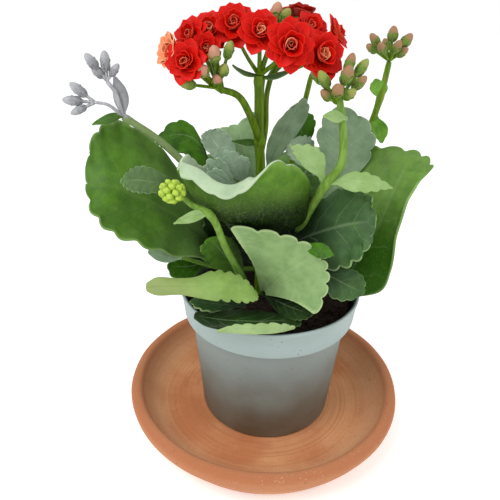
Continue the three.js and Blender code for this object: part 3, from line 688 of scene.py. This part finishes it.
# ---------------------------------------------------------------- folded leaves
# Leaves that cup, droop, twist or roll back as they push past their neighbours and over
# the pot's rim. Each is given by its left margin, its rib and its right margin.
FOLDED = {
    "leaf_bowl": [
        [(20, -12, 147), (13, -34, 171), (3, -47, 182), (-4, -53, 184), (-12, -54, 178), (-20, -53, 173),
         (-28, -50.5, 173.3), (-36, -46, 177), (-44, -42, 178.5)],
        [(21, -10, 143), (8, -26, 140), (-12, -38, 145), (-31, -46, 156), (-40, -44, 165), (-46, -42, 175)],
        [(20, -8, 146), (-3, 0, 155), (-19, -8, 159), (-32, -18, 164), (-39, -28, 175), (-43, -34, 180),
         (-46, -40, 176)]],
    "leaf_south_fan": [
        [(-6, -24, 101), (-10, -34, 122), (-17, -44, 139), (-23, -50, 152)],
        [(-4, -25, 102), (7, -44, 126), (21, -48, 138)],
        [(-3, -26, 100), (6, -42, 108), (13, -54, 112), (20, -60, 110)]],
    "leaf_east": [
        [(32, -2, 92), (36, 0, 131), (40, 4, 158), (48, 8, 175)],
        [(38, -8, 90), (54, -18, 137), (62, -14, 160), (72, -4, 176)],
        [(42, -12, 90), (60, -27, 106), (61, -30, 138), (65, -26, 159), (79, -14, 170)]],
    "leaf_southwest_pale": [
        [(-61.5, -53, 122), (-57, -52, 124.4), (-47, -50, 123), (-39, -48, 123), (-29, -44, 125),
         (-19, -43, 123), (-12, -43, 117), (-9, -43, 111)],
        [(-62, -53, 119.5), (-54, -54, 121), (-43, -54, 121), (-33, -53, 121), (-23, -51, 120),
         (-14, -48, 115), (-8, -45, 110)],
        [(-61.5, -53, 117.4), (-57.5, -53, 115.4), (-45, -53, 116), (-35, -53, 114), (-26, -52, 112),
         (-17, -50, 110), (-11, -48, 109.5), (-8, -46, 109.5)]],
    "leaf_south_rim": [
        [(-40, -41, 97), (-32, -39, 98), (-20, -39, 98.5), (-8, -39, 98.5), (4, -41, 97.5), (14, -44, 96)],
        [(-40.5, -43, 96.5), (-32, -47, 98), (-22, -50, 99), (-9, -50, 99), (4, -48, 98), (15, -45, 95.5)],
        [(-40, -45, 96), (-34, -51, 96), (-24, -54, 96), (-9, -54.5, 96), (5, -52, 95.5), (14.5, -47, 95)]],
}
# the near edge of the rim leaf, rolled back over it so that its pale underside shows
ROLLED_EDGE = [
    [(-28, -55, 96.5), (-23, -54.5, 98.8), (-18, -53.5, 100), (-10, -53.5, 100.4), (-3, -53, 101),
     (5, -52, 100), (11, -50.5, 97.5)],
    [(-28, -55.5, 96), (-20, -55.5, 98), (-9, -55.5, 98.6), (4, -53.5, 98), (11.5, -50.5, 96.5)],
    [(-27, -54.5, 95.6), (-20, -55.5, 95.6), (-9, -56, 95.6), (4, -53.5, 95.4), (11, -50, 95.5)]]
# Teeth on the far edge, teeth along each side, and their depths.
FOLDED_FORM = {
    "leaf_bowl": {"teeth": 3, "depth": 0.035, "left_teeth": 5.5, "right_teeth": 8, "side_depth": 0.04,
                  "rows": 66, "cols": 44, "flare": 7.6},
    "leaf_south_fan": {"teeth": 9, "depth": 0.075, "rows": 44, "cols": 72},
    "leaf_east": {"teeth": 4, "depth": 0.055, "left_teeth": 4, "right_teeth": 4, "side_depth": 0.05,
                  "rows": 60, "cols": 44},
    "leaf_southwest_pale": {"teeth": 3, "depth": 0.04, "left_teeth": 6.5, "right_teeth": 5.5,
                            "side_depth": 0.32,
                            "teeth_from": 0.5, "rows": 90, "cols": 22},
    "leaf_south_rim": {"teeth": 0, "left_teeth": 9, "side_depth": 0.12, "rows": 60, "cols": 18},
}


def smooth_line(points):
    """A smooth line through the points, as a function of 0 to 1."""
    points = [Vector(p) for p in points]
    last = len(points) - 1

    def at(t):
        spot = min(max(t, 0), 1) * last
        k = min(int(spot), last - 1)
        p1, p2 = points[k], points[k + 1]
        p0 = points[k - 1] if k else p1 * 2 - p2
        p3 = points[k + 2] if k + 2 <= last else p2 * 2 - p1
        d0, d1, d2 = ((b - a).length ** 0.5 for a, b in ((p0, p1), (p1, p2), (p2, p3)))
        leave = ((p1 - p0) / d0 - (p2 - p0) / (d0 + d1) + (p2 - p1) / d1) * d1
        arrive = ((p2 - p1) / d1 - (p3 - p1) / (d1 + d2) + (p3 - p2) / d2) * d1
        x = spot - k
        return (p1 + leave * x + (p2 * 3 - p1 * 3 - leave * 2 - arrive) * x ** 2
                + (p1 * 2 - p2 * 2 + leave + arrive) * x ** 3)
    return at


def folded_surface(rails, teeth=0, depth=0.06, left_teeth=0, right_teeth=0, side_depth=0.0, teeth_from=0.1,
                   flare=0, **_):
    """The blade hung between its rails; flare rolls the left margin over, outwards and down."""
    left, middle, right = (smooth_line(rail) for rail in rails)

    def at(u, v):
        notch = 1 - abs(math.cos(teeth * math.pi * v / 2)) ** 0.45 if teeth else 0
        reach = min(max(u * (1 - depth * u * notch), 0), 1)
        count = left_teeth if v < 0 else right_teeth
        if count and u > teeth_from:
            along = (u - teeth_from) / (1 - teeth_from)
            v *= 1 - side_depth * (1 - abs(math.sin(math.pi * count * along)) ** 0.5) * min(along * 5, 1)
        rolled = min(max((u - 0.32) / 0.2, 0), 1) if flare else 0
        over = max((-v - 0.7) / 0.3, 0) * rolled
        if v < 0:
            v += (max(v, -0.7) / 0.7 - v) * rolled
        point = (middle(reach) * (1 - v * v) + right(reach) * (v * v + v) / 2
                 + left(reach) * (v * v - v) / 2)
        return point + Vector((-0.2, -0.85, -0.6 * over)) * flare * over
    return at


# the low colours on the bowl's two faces and on the east leaf are painted shade, darkening their lower parts
FOLDED_FACES = {
    "leaf_bowl": (leaf_finish("leaf_bowl_inner", "8ba67c", "a8c298", "c2d0ba", 0.5, vein="ccd8c0", ribs=8,
                              vein_amount=0.2, edge=0.3, edge_tone="c4d2b2", low_colour_and_shade="5e7a50",
                              low=(0.152, 0.176), core=0),
                  leaf_finish("leaf_bowl_outer", "456f10", "648e26", "6f9148", 0.15, ribs=9, vein_amount=0.1,
                              edge=0.35, edge_tone="8fae60", low_colour_and_shade="081804", low=(0.153, 0.177), core=0)),
    "leaf_south_fan": (leaf_finish("leaf_fan_under", "6a8a50", "84a466", "9cb286", 0.3, vein="a2ba80",
                                   fan=True,
                                   ribs=13, vein_amount=0.18, edge=0.5, edge_tone="b6ca92", rough=0.64,
                                   core=0),
                       FACES["deep"]),
    "leaf_east": (leaf_finish("leaf_east_face", "4a7420", "689436", "86a066", 0.3, ribs=7, vein_amount=0.16,
                              low_colour_and_shade="2c5c04", low=(0.125, 0.158), edge=0.3), UNDER),
    "leaf_southwest_pale": (leaf_finish("leaf_tongue_under", "6f913e", "86a652", "9cb47c", 0.2, vein="a6ba78",
                                        vein_amount=0.12, edge=0.4, edge_tone="b2c886", base_colour_and_shade="8a965c",
                                        base_reach=0.5, core=0), FACES["deep"]),
    "leaf_south_rim": (FACES["deep"], UNDER),
}
for node, rails in FOLDED.items():
    form = FOLDED_FORM[node]
    blade = grow_blade(node + "_blade", folded_surface(rails, **form), *FOLDED_FACES[node], rows=form["rows"],
                       cols=form["cols"], wave=0.35, lobes=form["teeth"] or 5)
    if node == "leaf_south_rim":
        edge = grow_blade("rolled_edge", folded_surface(ROLLED_EDGE, left_teeth=6.5, side_depth=0.5),
                          UNDER_PALE,
                          UNDER_PALE, rows=44, cols=8, thick=0.9, wave=0.1)
        blade = join(node + "_blade", [blade, edge])
    pale = node in ("leaf_south_fan", "leaf_southwest_pale")
    stand_in(blade, "leaf_underside" if pale else "leaves", node)

# ---------------------------------------------------------------- stalks
# Round, juicy flower stalks that branch at swollen nodes, with small bracts at some of
# them. The old ones are olive with brown patches, the young ones light green, one is grey.
FLOWER_DEEP = 6.6     # from a flower's middle to the top of its own stalk, at size 1
FLOWERS = {     # centre, the way it faces, size
    "flower_front": [(3, -24, 227), (0.05, -0.95, 0.25), 1.05],
    "flower_west": [(-48, -18, 222), (-0.75, -0.55, 0.35), 0.9],
    "flower_west_low": [(-42, -27, 219), (-0.2, -0.85, 0.3), 0.9],
    "flower_west_high": [(-41, -12, 228), (-0.5, -0.7, 0.5), 0.85],
    "flower_left_back": [(-33, -9, 231), (-0.15, -0.8, 0.55), 0.88],
    "flower_left_front": [(-34, -18, 224), (-0.1, -0.8, 0.3), 0.66],
    "flower_mid_back": [(-22, -10, 233), (-0.05, -0.8, 0.6), 1.0],
    "flower_mid_front": [(-10, -18, 231), (0.05, -0.85, 0.5), 0.95],
    "flower_right_front": [(17, -18, 222), (0.35, -0.8, 0.35), 1.08],
    "flower_top": [(8, 12, 236), (0.1, 0.5, 0.85), 0.95],
    "flower_right_back": [(13, -3, 232), (0.2, -0.7, 0.65), 0.85],
    "flower_right": [(24, 0, 229), (0.8, -0.3, 0.5), 0.85],
}


def stalk_finish(name, young, old, low_colour_and_shade=None, low=(0.1, 0.15), brown=0.35):
    skin = Finish(name)
    streak = skin.cloud(1.5, 3, stretch=(1, 1, 0.12))
    patch = skin.cloud(9, 2)
    base = skin.mix(skin.span(streak, 0.35, 0.65), old, young)
    base = skin.mix(skin.span(patch, 0.56, 0.72, 0, brown), base, "8a7a45")
    if low_colour_and_shade:
        base = skin.mix(skin.span(skin.axis(skin.place, "Z"), low[1], low[0], 0, 0.8), base, low_colour_and_shade)
    return skin.surface(base, skin.span(streak, 0.3, 0.7, 0.42, 0.58), streak, 0.2,
                        Specular_IOR_Level=0.2)


OLIVE = stalk_finish("stalk_olive", "6e8e16", "50700c")
YOUNG = stalk_finish("stalk_young_green", "7a9e42", "64882e", "4a7020", (0.11, 0.15), 0.12)
BRACT = leaf_finish("bract_green", "749848", "90b06a", "acc496", 0.3, vein="bcd09c", edge=0.4, core=0)
BRACT_DARK = leaf_finish("bract_dark_green", "34591a", "4f7a28", "6b8850", 0.12)
GREY = stalk_finish("stalk_grey", "b4b5b9", "94969b", "6f8c34", (0.1905, 0.1935), 0.05)
GREY_BRACT = leaf_finish("bract_grey", "8e8f94", "a4a6aa", "b8babe", 0.3, vein="c4c6ca", edge_tone="c4c6ca",
                         core=0)


def stem(name, path, radii, finish, knots=(), steps=8, sides=12):
    """A curve drawn through the path, as thick as the radii say, made solid."""
    line = smooth_line(path)
    count = (len(path) - 1) * steps
    clear_choice()
    bpy.ops.curve.primitive_nurbs_path_add(location=(0, 0, 0))
    made = bpy.context.object
    made.name = name
    curve = made.data
    curve.splines.clear()
    spline = curve.splines.new("POLY")
    spline.points.add(count)
    for k, point in enumerate(spline.points):
        t = k / count
        slot = t * (len(radii) - 1)
        low = min(int(slot), len(radii) - 2)
        thick = radii[low] + (radii[low + 1] - radii[low]) * (slot - low)
        thick *= 1 + sum(0.28 * math.exp(-((t - knot) / 0.035) ** 2) for knot in knots)
        if k in (0, count):
            thick *= 0.86
        point.co = (*(line(t) * MM), 1)
        point.radius = thick
    curve.bevel_depth = MM
    curve.bevel_resolution = max(sides // 4 - 1, 1)
    curve.use_fill_caps = True
    bpy.ops.object.convert(target="MESH")
    made = bpy.context.object
    edit()
    bpy.ops.mesh.remove_doubles(threshold=1e-6)
    bpy.ops.mesh.normals_make_consistent(inside=False)
    done()
    made.data.materials.clear()
    made.data.materials.append(finish)
    bpy.ops.object.shade_smooth_by_angle(angle=math.radians(50))
    return made


def bract(name, points, face, under, lobes=2, depth=0.0, stalk=0.05):
    surface = leaf_surface(points, 0.95, stalk, 0.42)
    return grow_blade(name, surface, face, under, rows=30, cols=10, thick=0.9, wave=0.15,
                      lobes=lobes, depth=depth)


def foot_of(flower):
    centre, facing, size = FLOWERS[flower]
    return Vector(centre) - Vector(facing).normalized() * FLOWER_DEEP * size


def flower_stem(node, flower, finish):
    start, end = Vector(node), foot_of(flower)
    middle = (start + end) / 2 + Vector((0, 0, -1))
    return stem("part", [start, middle, end], [1.3, 1.0, 0.9], finish, steps=5, sides=8)


TOP, WEST, EAST = (-10, -4, 211), (-27, -17, 205), (-5, 0, 210)
parts = [
    stem("part", [(-6, 0, 84), (-8, -4, 166), (-9, -4, 178), TOP], [3.2, 2.7, 2.7, 2.5], OLIVE,
         knots=(0.66, 0.99), steps=12),
    stem("part", [(-8, -3, 172), (-6, 1, 184), (-6, 2, 200), (-4, 0, 211)], [1.8, 1.5, 1.4], OLIVE),
    stem("part", [(-8, -4, 176), (-14, -10, 193), (-20, -14, 203), (-29, -17, 206.5)], [1.9, 1.8, 1.5],
         OLIVE),
    stem("part", [TOP, (-7, -5, 220), (-5, -3, 228)], [1.6, 1.2, 0.9], OLIVE)]
for start, flowers in ((WEST, ("flower_west", "flower_west_low", "flower_west_high", "flower_left_back",
                               "flower_left_front")),
                       (TOP, ("flower_mid_back", "flower_mid_front", "flower_front")),
                       (EAST, ("flower_right_front", "flower_top", "flower_right_back"))):
    parts += [flower_stem(start, flower, OLIVE) for flower in flowers]
for points in ([(-9, -4, 178), (-16, -6, 178.7), (-23, -8, 179.5), (-15, -7, 177), (-15, -5, 180)],
               [(-10, -4, 211), (-17, -6, 212), (-23, -8, 216), (-17, -8, 211.4), (-17, -4, 212.8)],
               [(-10, -4, 210), (-2, -7, 211), (5, -9, 214.5), (-2, -5, 211.8), (-2, -9, 210.4)]):
    parts.append(bract("part", points, BRACT_DARK, BRACT_DARK))
stand_in(join("stalk_main_grown", parts), "stalks", "stalk_main")

parts = [stem("part", [(8, -12, 109), (12, -14, 127), (16, -22, 146), (23, -30, 165), (29, -32, 176),
                       (29, -30, 190), (26, -27, 206)], [2.9, 2.4, 1.9, 1.6], YOUNG, knots=(0.52,))]
for points, depth in (([(23, -30, 166), (13, -36, 180), (4, -40, 187), (8, -38, 179), (19, -34, 184)], 0.3),
                      ([(24, -31, 167), (39, -38, 170), (52, -42, 169), (39, -34, 174), (38, -42, 166)],
                       0.34),
                      ([(30, -30, 197), (24, -34, 199), (18, -38, 200), (24, -37, 197), (24, -31, 201)], 0)):
    parts.append(bract("part", points, BRACT, UNDER_PALE, lobes=4.5 if depth else 2, depth=depth, stalk=0.1))
stand_in(join("stalk_right_grown", parts), "stalks", "stalk_right")

parts = [stem("part", [(16, 6, 108), (34, 22, 128), (48, 33, 156), (56, 37, 178), (60, 38, 196),
                       (62, 38, 213.5)],
              [2.4, 2.2, 1.9, 1.6], OLIVE, knots=(0.78,))]
for points in ([(60, 38, 193), (57, 36, 200), (55, 34, 205), (52, 34, 200), (63, 38, 201)],
               [(58, 37, 184), (61, 35, 176), (63, 33, 169), (66, 34, 177), (56, 34, 176)]):
    parts.append(bract("part", points, FACES["fresh"], UNDER, lobes=3, depth=0.05))
stand_in(join("stalk_far_right_grown", parts), "stalks", "stalk_far_right")

parts = [stem("part", [(2, 6, 110), (8, 18, 150), (13, 22, 180), (17, 14, 209)], [2.2, 1.8, 1.6, 1.4], OLIVE),
         flower_stem((17, 14, 208), "flower_right", OLIVE)]
stand_in(join("stalk_back_grown", parts), "stalks", "stalk_back")

parts = [stem("part", [(-12, 4, 106), (-28, 0, 136), (-42, -8, 161), (-59, -12, 180), (-75, -15, 192)],
              [2.4, 2.2, 1.9, 1.7], GREY, knots=(0.99,)),
         stem("part", [(-75, -15, 192), (-78, -14, 203), (-82, -12, 207.5)], [1.2, 1, 1], GREY, sides=8),
         stem("part", [(-75, -15, 192), (-81, -18, 198), (-86.5, -18, 199)], [1.1, 0.9, 0.9], GREY, sides=8),
         bract("part", [(-75, -15, 192), (-81, -20, 192), (-88, -24, 190), (-81, -22, 190), (-81, -18, 194)],
               BRACT_DARK, BRACT_DARK),
         bract("part", [(-75, -15, 192), (-76, -12, 202), (-79, -10, 210), (-80, -12, 201), (-73, -10, 202)],
               GREY_BRACT, GREY_BRACT)]
stand_in(join("stalk_west_grown", parts), "stalks", "stalk_west")

parts = [stem("part", [(-12, -18, 98), (-17.5, -34, 118), (-24, -42, 136), (-31, -52, 158), (-39, -51, 162),
                       (-42.5, -51, 165.2)], [1.9, 1.8, 1.6, 1.2], YOUNG, knots=(0.2, 0.6)),
         bract("part", [(-31, -52, 158), (-39, -56, 158.5), (-46, -60, 156.5), (-39, -58, 156),
                        (-38, -54, 160.5)],
               BRACT, UNDER_PALE)]
stand_in(join("stalk_low_grown", parts), "stalks", "stalk_low")

# the side shoots: small fleshy leaves crowded in the crown and one under the broad west
# leaf, each on a thin stem from the main stalk's foot
SIDE_SHOOTS = {
    "leaf_west_cupped": [(-46, -38, 128), (-54, -41, 130), (-62, -42, 133), (-54, -42, 127), (-54, -40, 133)],
    "leaf_crown_far_left": [(-21, -30, 164), (-27, -34.5, 172.6), (-33, -36, 178), (-30, -35.7, 169.5),
                            (-24, -33, 176)],
    "leaf_crown_left": [(-21, -33, 164.5), (-27, -37, 170.4), (-33, -39, 173), (-28.5, -38, 167.5),
                        (-26, -36, 173.6)],
    "leaf_crown_middle": [(-17, -27, 165), (-21, -29.5, 174.7), (-25, -30, 181), (-24.6, -30.3, 172.6),
                          (-17.5, -28.7, 176.7)],
    "leaf_crown_right": [(-15, -26, 165), (-16.6, -28, 173.3), (-18, -28, 178), (-20, -28.5, 172.4),
                         (-13, -27.7, 174.2)],
}
for name, points in SIDE_SHOOTS.items():
    cupped = name == "leaf_west_cupped"
    full, depth, face = (0.5, 0.04, "silver") if cupped else (0.6, 0.3, "rosette")
    blade = grow_blade(name, leaf_surface(points, full), FACES[face], UNDER, rows=36, cols=12,
                       thick=1.0, wave=0.25, lobes=2.5, depth=depth)
    stand_in(blade, "leaves")

shoots = []
for base in ((-46, -38, 128), (-20.5, -29, 163.5), (-15.5, -25.5, 164), (-20, -17.5, 156.5), (-16, -10, 156),
             (-19, 0, 156), (-10, 12, 146)):
    foot = Vector((-8, -4, 104 if base[2] < 130 else 160 if base[1] < -5 else 138))
    middle = (foot + Vector(base)) / 2 + Vector((0, 0, -3))
    shoots.append(stem("part", [foot, middle, Vector(base)], [1.6, 1.2, 1.0], YOUNG, steps=5, sides=8))
stand_in(join("side_shoots_grown", shoots), "stalks")

# ---------------------------------------------------------------- flowers
# Double flowers: a green calyx and a short tube, then five whorls of waxy red petals,
# flat outside and curled up within. The backs are coral, and the innermost petals paler.
# For each whorl: how many petals, their length, how far they open, and the turn of the first.
WHORLS = [(6, 10.8, 84, 0.0), (6, 9.8, 67, 30), (5, 7.8, 48, 12), (4, 5.8, 28, 50), (3, 4.2, 12, 20)]
PETAL_THICK = 0.04           # as a share of the petal's length


def petal_finish(name, deep, light, rim, streaks=0.3):
    skin = Finish(name)
    side, t = skin.blade_axes()[1:]
    hairline = skin.cloud(1.2, 2)
    base = skin.mix(skin.span(t, 0.05, 0.85), deep, light)
    base = skin.mix(skin.span(hairline, 0.4, 0.7, 0, streaks), base, rim)
    edge = skin.larger(skin.span(side, 0.72, 1.0), skin.span(t, 0.9, 1.0))
    base = skin.mix(skin.times(edge, 0.4), base, rim)
    return skin.surface(base, skin.span(hairline, 0.3, 0.7, 0.42, 0.55), hairline, 0.12,
                        Specular_IOR_Level=0.14)


RED = petal_finish("petal_red", "8e0000", "cc0a04", "de2a12")
ROSE = petal_finish("petal_inner_red", "9c0200", "cc1004", "f08a68", 0.4)
DARK_RED = petal_finish("petal_dark_red", "700402", "a4100a", "c03a26")
CORAL = petal_finish("petal_back_coral", "b82c14", "d84c2c", "ee8a68")
PALE = petal_finish("petal_pale_orange", "d85c34", "ec8c5c", "f8bc94", 0.45)
CALYX = stalk_finish("calyx_green", "7c9e42", "5c8028", brown=0.1)


def plain_petal(name, face, under, curl=-0.14, cup=0.5):
    """One petal, a unit long: a small sheet drawn into a broad, pointed, cupped blade."""
    blade = thin_sheet(name, 4, 7)
    for corner in blade.data.vertices:
        v, t = corner.co.x, (corner.co.y + 1) / 2
        wide = max(0.42 * math.sin(math.pi * t ** 0.85) ** 0.55 if t < 0.999 else 0.0, 0.1 * (1 - t) + 0.012)
        corner.co = (v * wide, t, cup * v * v * wide * wide * 1.6 + curl * t * t)
    give_flesh(blade, face, under, PETAL_THICK)
    apply_all(blade)
    bpy.ops.object.shade_smooth_by_angle(angle=math.radians(60))
    return blade


petal = plain_petal("petal", RED, CORAL)
curled = plain_petal("curled_petal", RED, CORAL, curl=0.22, cup=0.9)
# the calyx: a short urn with four pointed sepals, foot at the origin, opening upwards
urn = turn_up("urn", [(0.4, -7.4), (0.9, -7.2), (1.9, -6.2), (2.3, -4.6), (2.1, -3), (1.9, -1.4), (2.5, 0.2),
                      (0.6, 0.3)], 10)
urn.data.materials.append(CALYX)


def four_sepals(name, first, out, tilt, sizes):
    """Four sepals round the upright axis, moved out from it and tilted up."""
    sepals = []
    for k in range(4):
        sepal = plain_petal(name, CALYX, CALYX)
        sepal.data.transform(Matrix.Rotation(math.tau * k / 4 + first, 4, "Z")
                             @ Matrix.Translation(out) @ Matrix.Rotation(math.radians(tilt), 4, "X")
                             @ Matrix.Diagonal((*sizes, 1)))
        sepals.append(sepal)
    return sepals


calyx = join("calyx", [urn, *four_sepals("sepal", 0, Vector((0, 1, -6.6)) * MM, 58,
                                         (4.2 * MM, 5 * MM, 5 * MM))])


def copy_of(model, place, *faces):
    made = model.copy()
    made.data = model.data.copy()
    bpy.context.collection.objects.link(made)
    made.data.transform(place)
    for k, face in enumerate(faces):
        made.data.materials[k] = face
    return made


def aim(centre, facing):
    turn = Vector(facing).normalized().to_track_quat("Z", "Y")
    return Matrix.Translation(Vector(centre) * MM) @ turn.to_matrix().to_4x4()


def flower(name, centre, facing, size, open_by=1.0, faces=(RED, CORAL), heart=PALE, hearts=1, spin=0.0):
    stand = aim(centre, facing)
    parts = [copy_of(calyx, stand @ Matrix.Scale(size, 4))]
    for whorl, (count, length, tilt, offset) in enumerate(WHORLS):
        for k in range(count):
            turn = math.tau * k / count + math.radians(offset + random.uniform(-8, 8) + spin)
            lean = math.radians(tilt * open_by + random.uniform(-6, 6))
            long = length * size * random.uniform(0.94, 1.05)
            wide = long * random.uniform(0.98, 1.12)
            roll = Matrix.Rotation(random.uniform(-0.2, 0.2), 4, "Y")
            root = Matrix.Translation(Vector((0, 0.6, -0.4)) * size * MM)
            place = (stand @ Matrix.Rotation(turn, 4, "Z") @ root
                     @ Matrix.Rotation(math.pi / 2 - lean, 4, "X") @ roll
                     @ Matrix.Diagonal((wide * MM, long * MM, long * MM, 1)))
            inner = whorl >= 3
            skins = (heart, heart) if inner and k < hearts else (ROSE, CORAL) if inner else faces
            parts.append(copy_of(curled if whorl >= 2 else petal, place, *skins))
    return join(name, parts)


LOOKS = {
    "flower_front": {},
    "flower_west": {"open_by": 0.55, "faces": (PALE, CORAL), "hearts": 4},
    "flower_west_low": {"hearts": 3, "open_by": 0.85, "heart": CORAL},
    "flower_west_high": {"hearts": 0, "open_by": 0.85},
    "flower_left_back": {"hearts": 2},
    "flower_left_front": {"open_by": 0.7, "hearts": 2},
    "flower_mid_back": {"hearts": 0, "open_by": 0.85},
    "flower_mid_front": {"hearts": 2, "open_by": 0.9},
    "flower_right_front": {"hearts": 4, "open_by": 0.85},
    "flower_top": {"faces": (DARK_RED, DARK_RED), "hearts": 0},
    "flower_right_back": {"faces": (RED, DARK_RED), "hearts": 0},
    "flower_right": {"open_by": 0.7, "hearts": 2},
}
for k, (node, (centre, facing, size)) in enumerate(FLOWERS.items()):
    made = flower(node + "_bloom", centre, facing, size, spin=k * 23, **LOOKS[node])
    stand_in(made, "petals", node)
bpy.data.objects.remove(petal)
bpy.data.objects.remove(curled)
bpy.data.objects.remove(calyx)

# ---------------------------------------------------------------- buds
# Closed buds in small clusters: an egg of four furled petals in a small calyx, on a thin
# stalk from the cluster's foot. The wide ones are ripe, and every second small one too.
HEAD_BUDS = 26
BUDS = {     # the cluster's foot, then each bud's middle, length and width
    "buds_left": [(-29, -18, 207), [(-30, -27, 223, 8, 6), (-24, -20, 224, 8, 5), (-35, -29, 216, 7, 6),
                                    (-26, -25, 216, 7, 5), (-29, -25, 212, 5, 5), (-42, -28, 210, 8, 5)]],
    "buds_top": [(-5, -3, 229), [(-3, -4, 239, 9, 6), (1, -6, 238, 7, 5)]],
    "buds_right": [(25, -26, 203), [(30, -22, 220, 9, 5), (36, -20, 218, 9, 5), (28, -30, 216, 9, 6),
                                    (18, -30, 214, 9, 5), (24, -34, 210, 8, 6), (16, -22, 214, 8, 5),
                                    (35, -24, 212, 8, 5), (30, -30, 208, 7, 5), (20, -28, 207, 7, 5)]],
    "buds_far": [(62, 38, 214), [(52, 36, 225, 8, 5), (62, 38, 228, 8, 6), (70, 38, 225, 8, 6),
                                 (56, 33, 221, 8, 5), (64, 33, 222, 8, 5), (68, 36, 219, 7, 5),
                                 (52, 41, 220, 7, 5), (60, 43, 222, 7, 5)]],
    "buds_west_high": [(-82, -12, 208), [(-88, -14, 217, 8, 5), (-82, -12, 217, 9, 5), (-78, -12, 213, 7, 4),
                                         (-86, -12, 212, 7, 5)]],
    "buds_west_low": [(-87, -18, 199), [(-97, -20, 200, 9, 5), (-94, -19, 205, 9, 5), (-94, -22, 196, 8, 4)]],
    "buds_head": [(-43, -51, 165.7), []],
}
# the young head is a tight ball of tiny buds
for k in range(HEAD_BUDS):
    high, turn = 1 - 2 * (k + 0.5) / HEAD_BUDS, k * 2.4
    wide = math.sqrt(1 - high * high)
    BUDS["buds_head"][1].append((-46.8 + 4.4 * wide * math.cos(turn), -53 + 3.6 * wide * math.sin(turn),
                                 168.6 + 3.8 * high, 4.6, 3.4))


def bud_finish(name, low, high, tip_tone, change=(0.35, 0.8)):
    """Coloured by the height up the bud, kept in its own map."""
    skin = Finish(name)
    t = skin.axis(skin.across, "Y")
    fleck = skin.cloud(1.4, 3)
    base = skin.mix(skin.span(t, *change), low, high)
    base = skin.mix(skin.span(fleck, 0.45, 0.7, 0, 0.5), base, tip_tone)
    return skin.surface(base, skin.span(fleck, 0.3, 0.7, 0.45, 0.6), fleck, 0.2, Specular_IOR_Level=0.35)


PINK = bud_finish("bud_pink", "6f8a34", "b88468", "cc9880", (0.25, 0.65))
GREEN = bud_finish("bud_green", "5f8228", "86963e", "b08060")
BROWN = bud_finish("bud_brown_pink", "688030", "987450", "a86e58")
SILVER = bud_finish("bud_grey", "8a8b8f", "a2a3a7", "bcbdc0")
LIME = bud_finish("bud_lime", "86a82c", "b2cc4a", "5c7a1c")
GREY_CALYX = bud_finish("calyx_grey", "848589", "9c9da1", "b0b1b4")


def plain_bud():
    """A bud a unit long and a unit wide, four furled petals twisting to the point."""
    bud = turn_up("bud", [(60, -500), (260, -440), (420, -300), (490, -100), (470, 100), (380, 290),
                          (240, 420),
                          (110, 490), (40, 500)], 12)
    sheet = bud.data.uv_layers[0]
    for loop in bud.data.loops:
        spot = bud.data.vertices[loop.vertex_index].co
        sheet.data[loop.index].uv = (0.5, spot.z + 0.5)
    for corner in bud.data.vertices:
        turn = math.atan2(corner.co.y, corner.co.x)
        fold = 1 - 0.12 * abs(math.cos(2 * turn + corner.co.z * 1.6)) ** 3
        corner.co.x *= fold
        corner.co.y *= fold
    return bud


bud = plain_bud()
bud.data.materials.append(PINK)
cups = join("cups", four_sepals("cup", 0.4, (0, 0.16, -0.54), 66, (1, 0.7, 0.6)))

MIX = {"buds_left": (PINK, GREEN), "buds_top": (PINK, GREEN), "buds_right": (BROWN, GREEN),
       "buds_far": (BROWN, BROWN), "buds_west_high": (SILVER, SILVER), "buds_west_low": (SILVER, SILVER),
       "buds_head": (LIME, LIME)}
for node, (foot, cluster) in BUDS.items():
    ripe, unripe = MIX[node]
    grey, lime = ripe == SILVER, ripe == LIME
    parts = []
    for k, (x, y, z, long, wide) in enumerate(cluster):
        facing = Vector((x, y, z)) - Vector(foot)
        place = aim((x, y, z), facing) @ Matrix.Diagonal((wide * MM, wide * MM, long * MM, 1))
        parts.append(copy_of(bud, place, ripe if wide > 5 or k % 2 == 0 else unripe))
        calyx_skin = GREY_CALYX if grey else LIME if lime else CALYX
        parts.append(copy_of(cups, place, calyx_skin))
        end = Vector((x, y, z)) - facing.normalized() * long * 0.42
        if facing.length > long * 0.6 and not lime:
            middle = (Vector(foot) + end) / 2
            parts.append(stem("part", [foot, middle, end], [0.9, 0.8, 0.8], GREY if grey else OLIVE, steps=2,
                              sides=8))
    stand_in(join(node + "_cluster", parts), "buds", node)
bpy.data.objects.remove(bud)
bpy.data.objects.remove(cups)
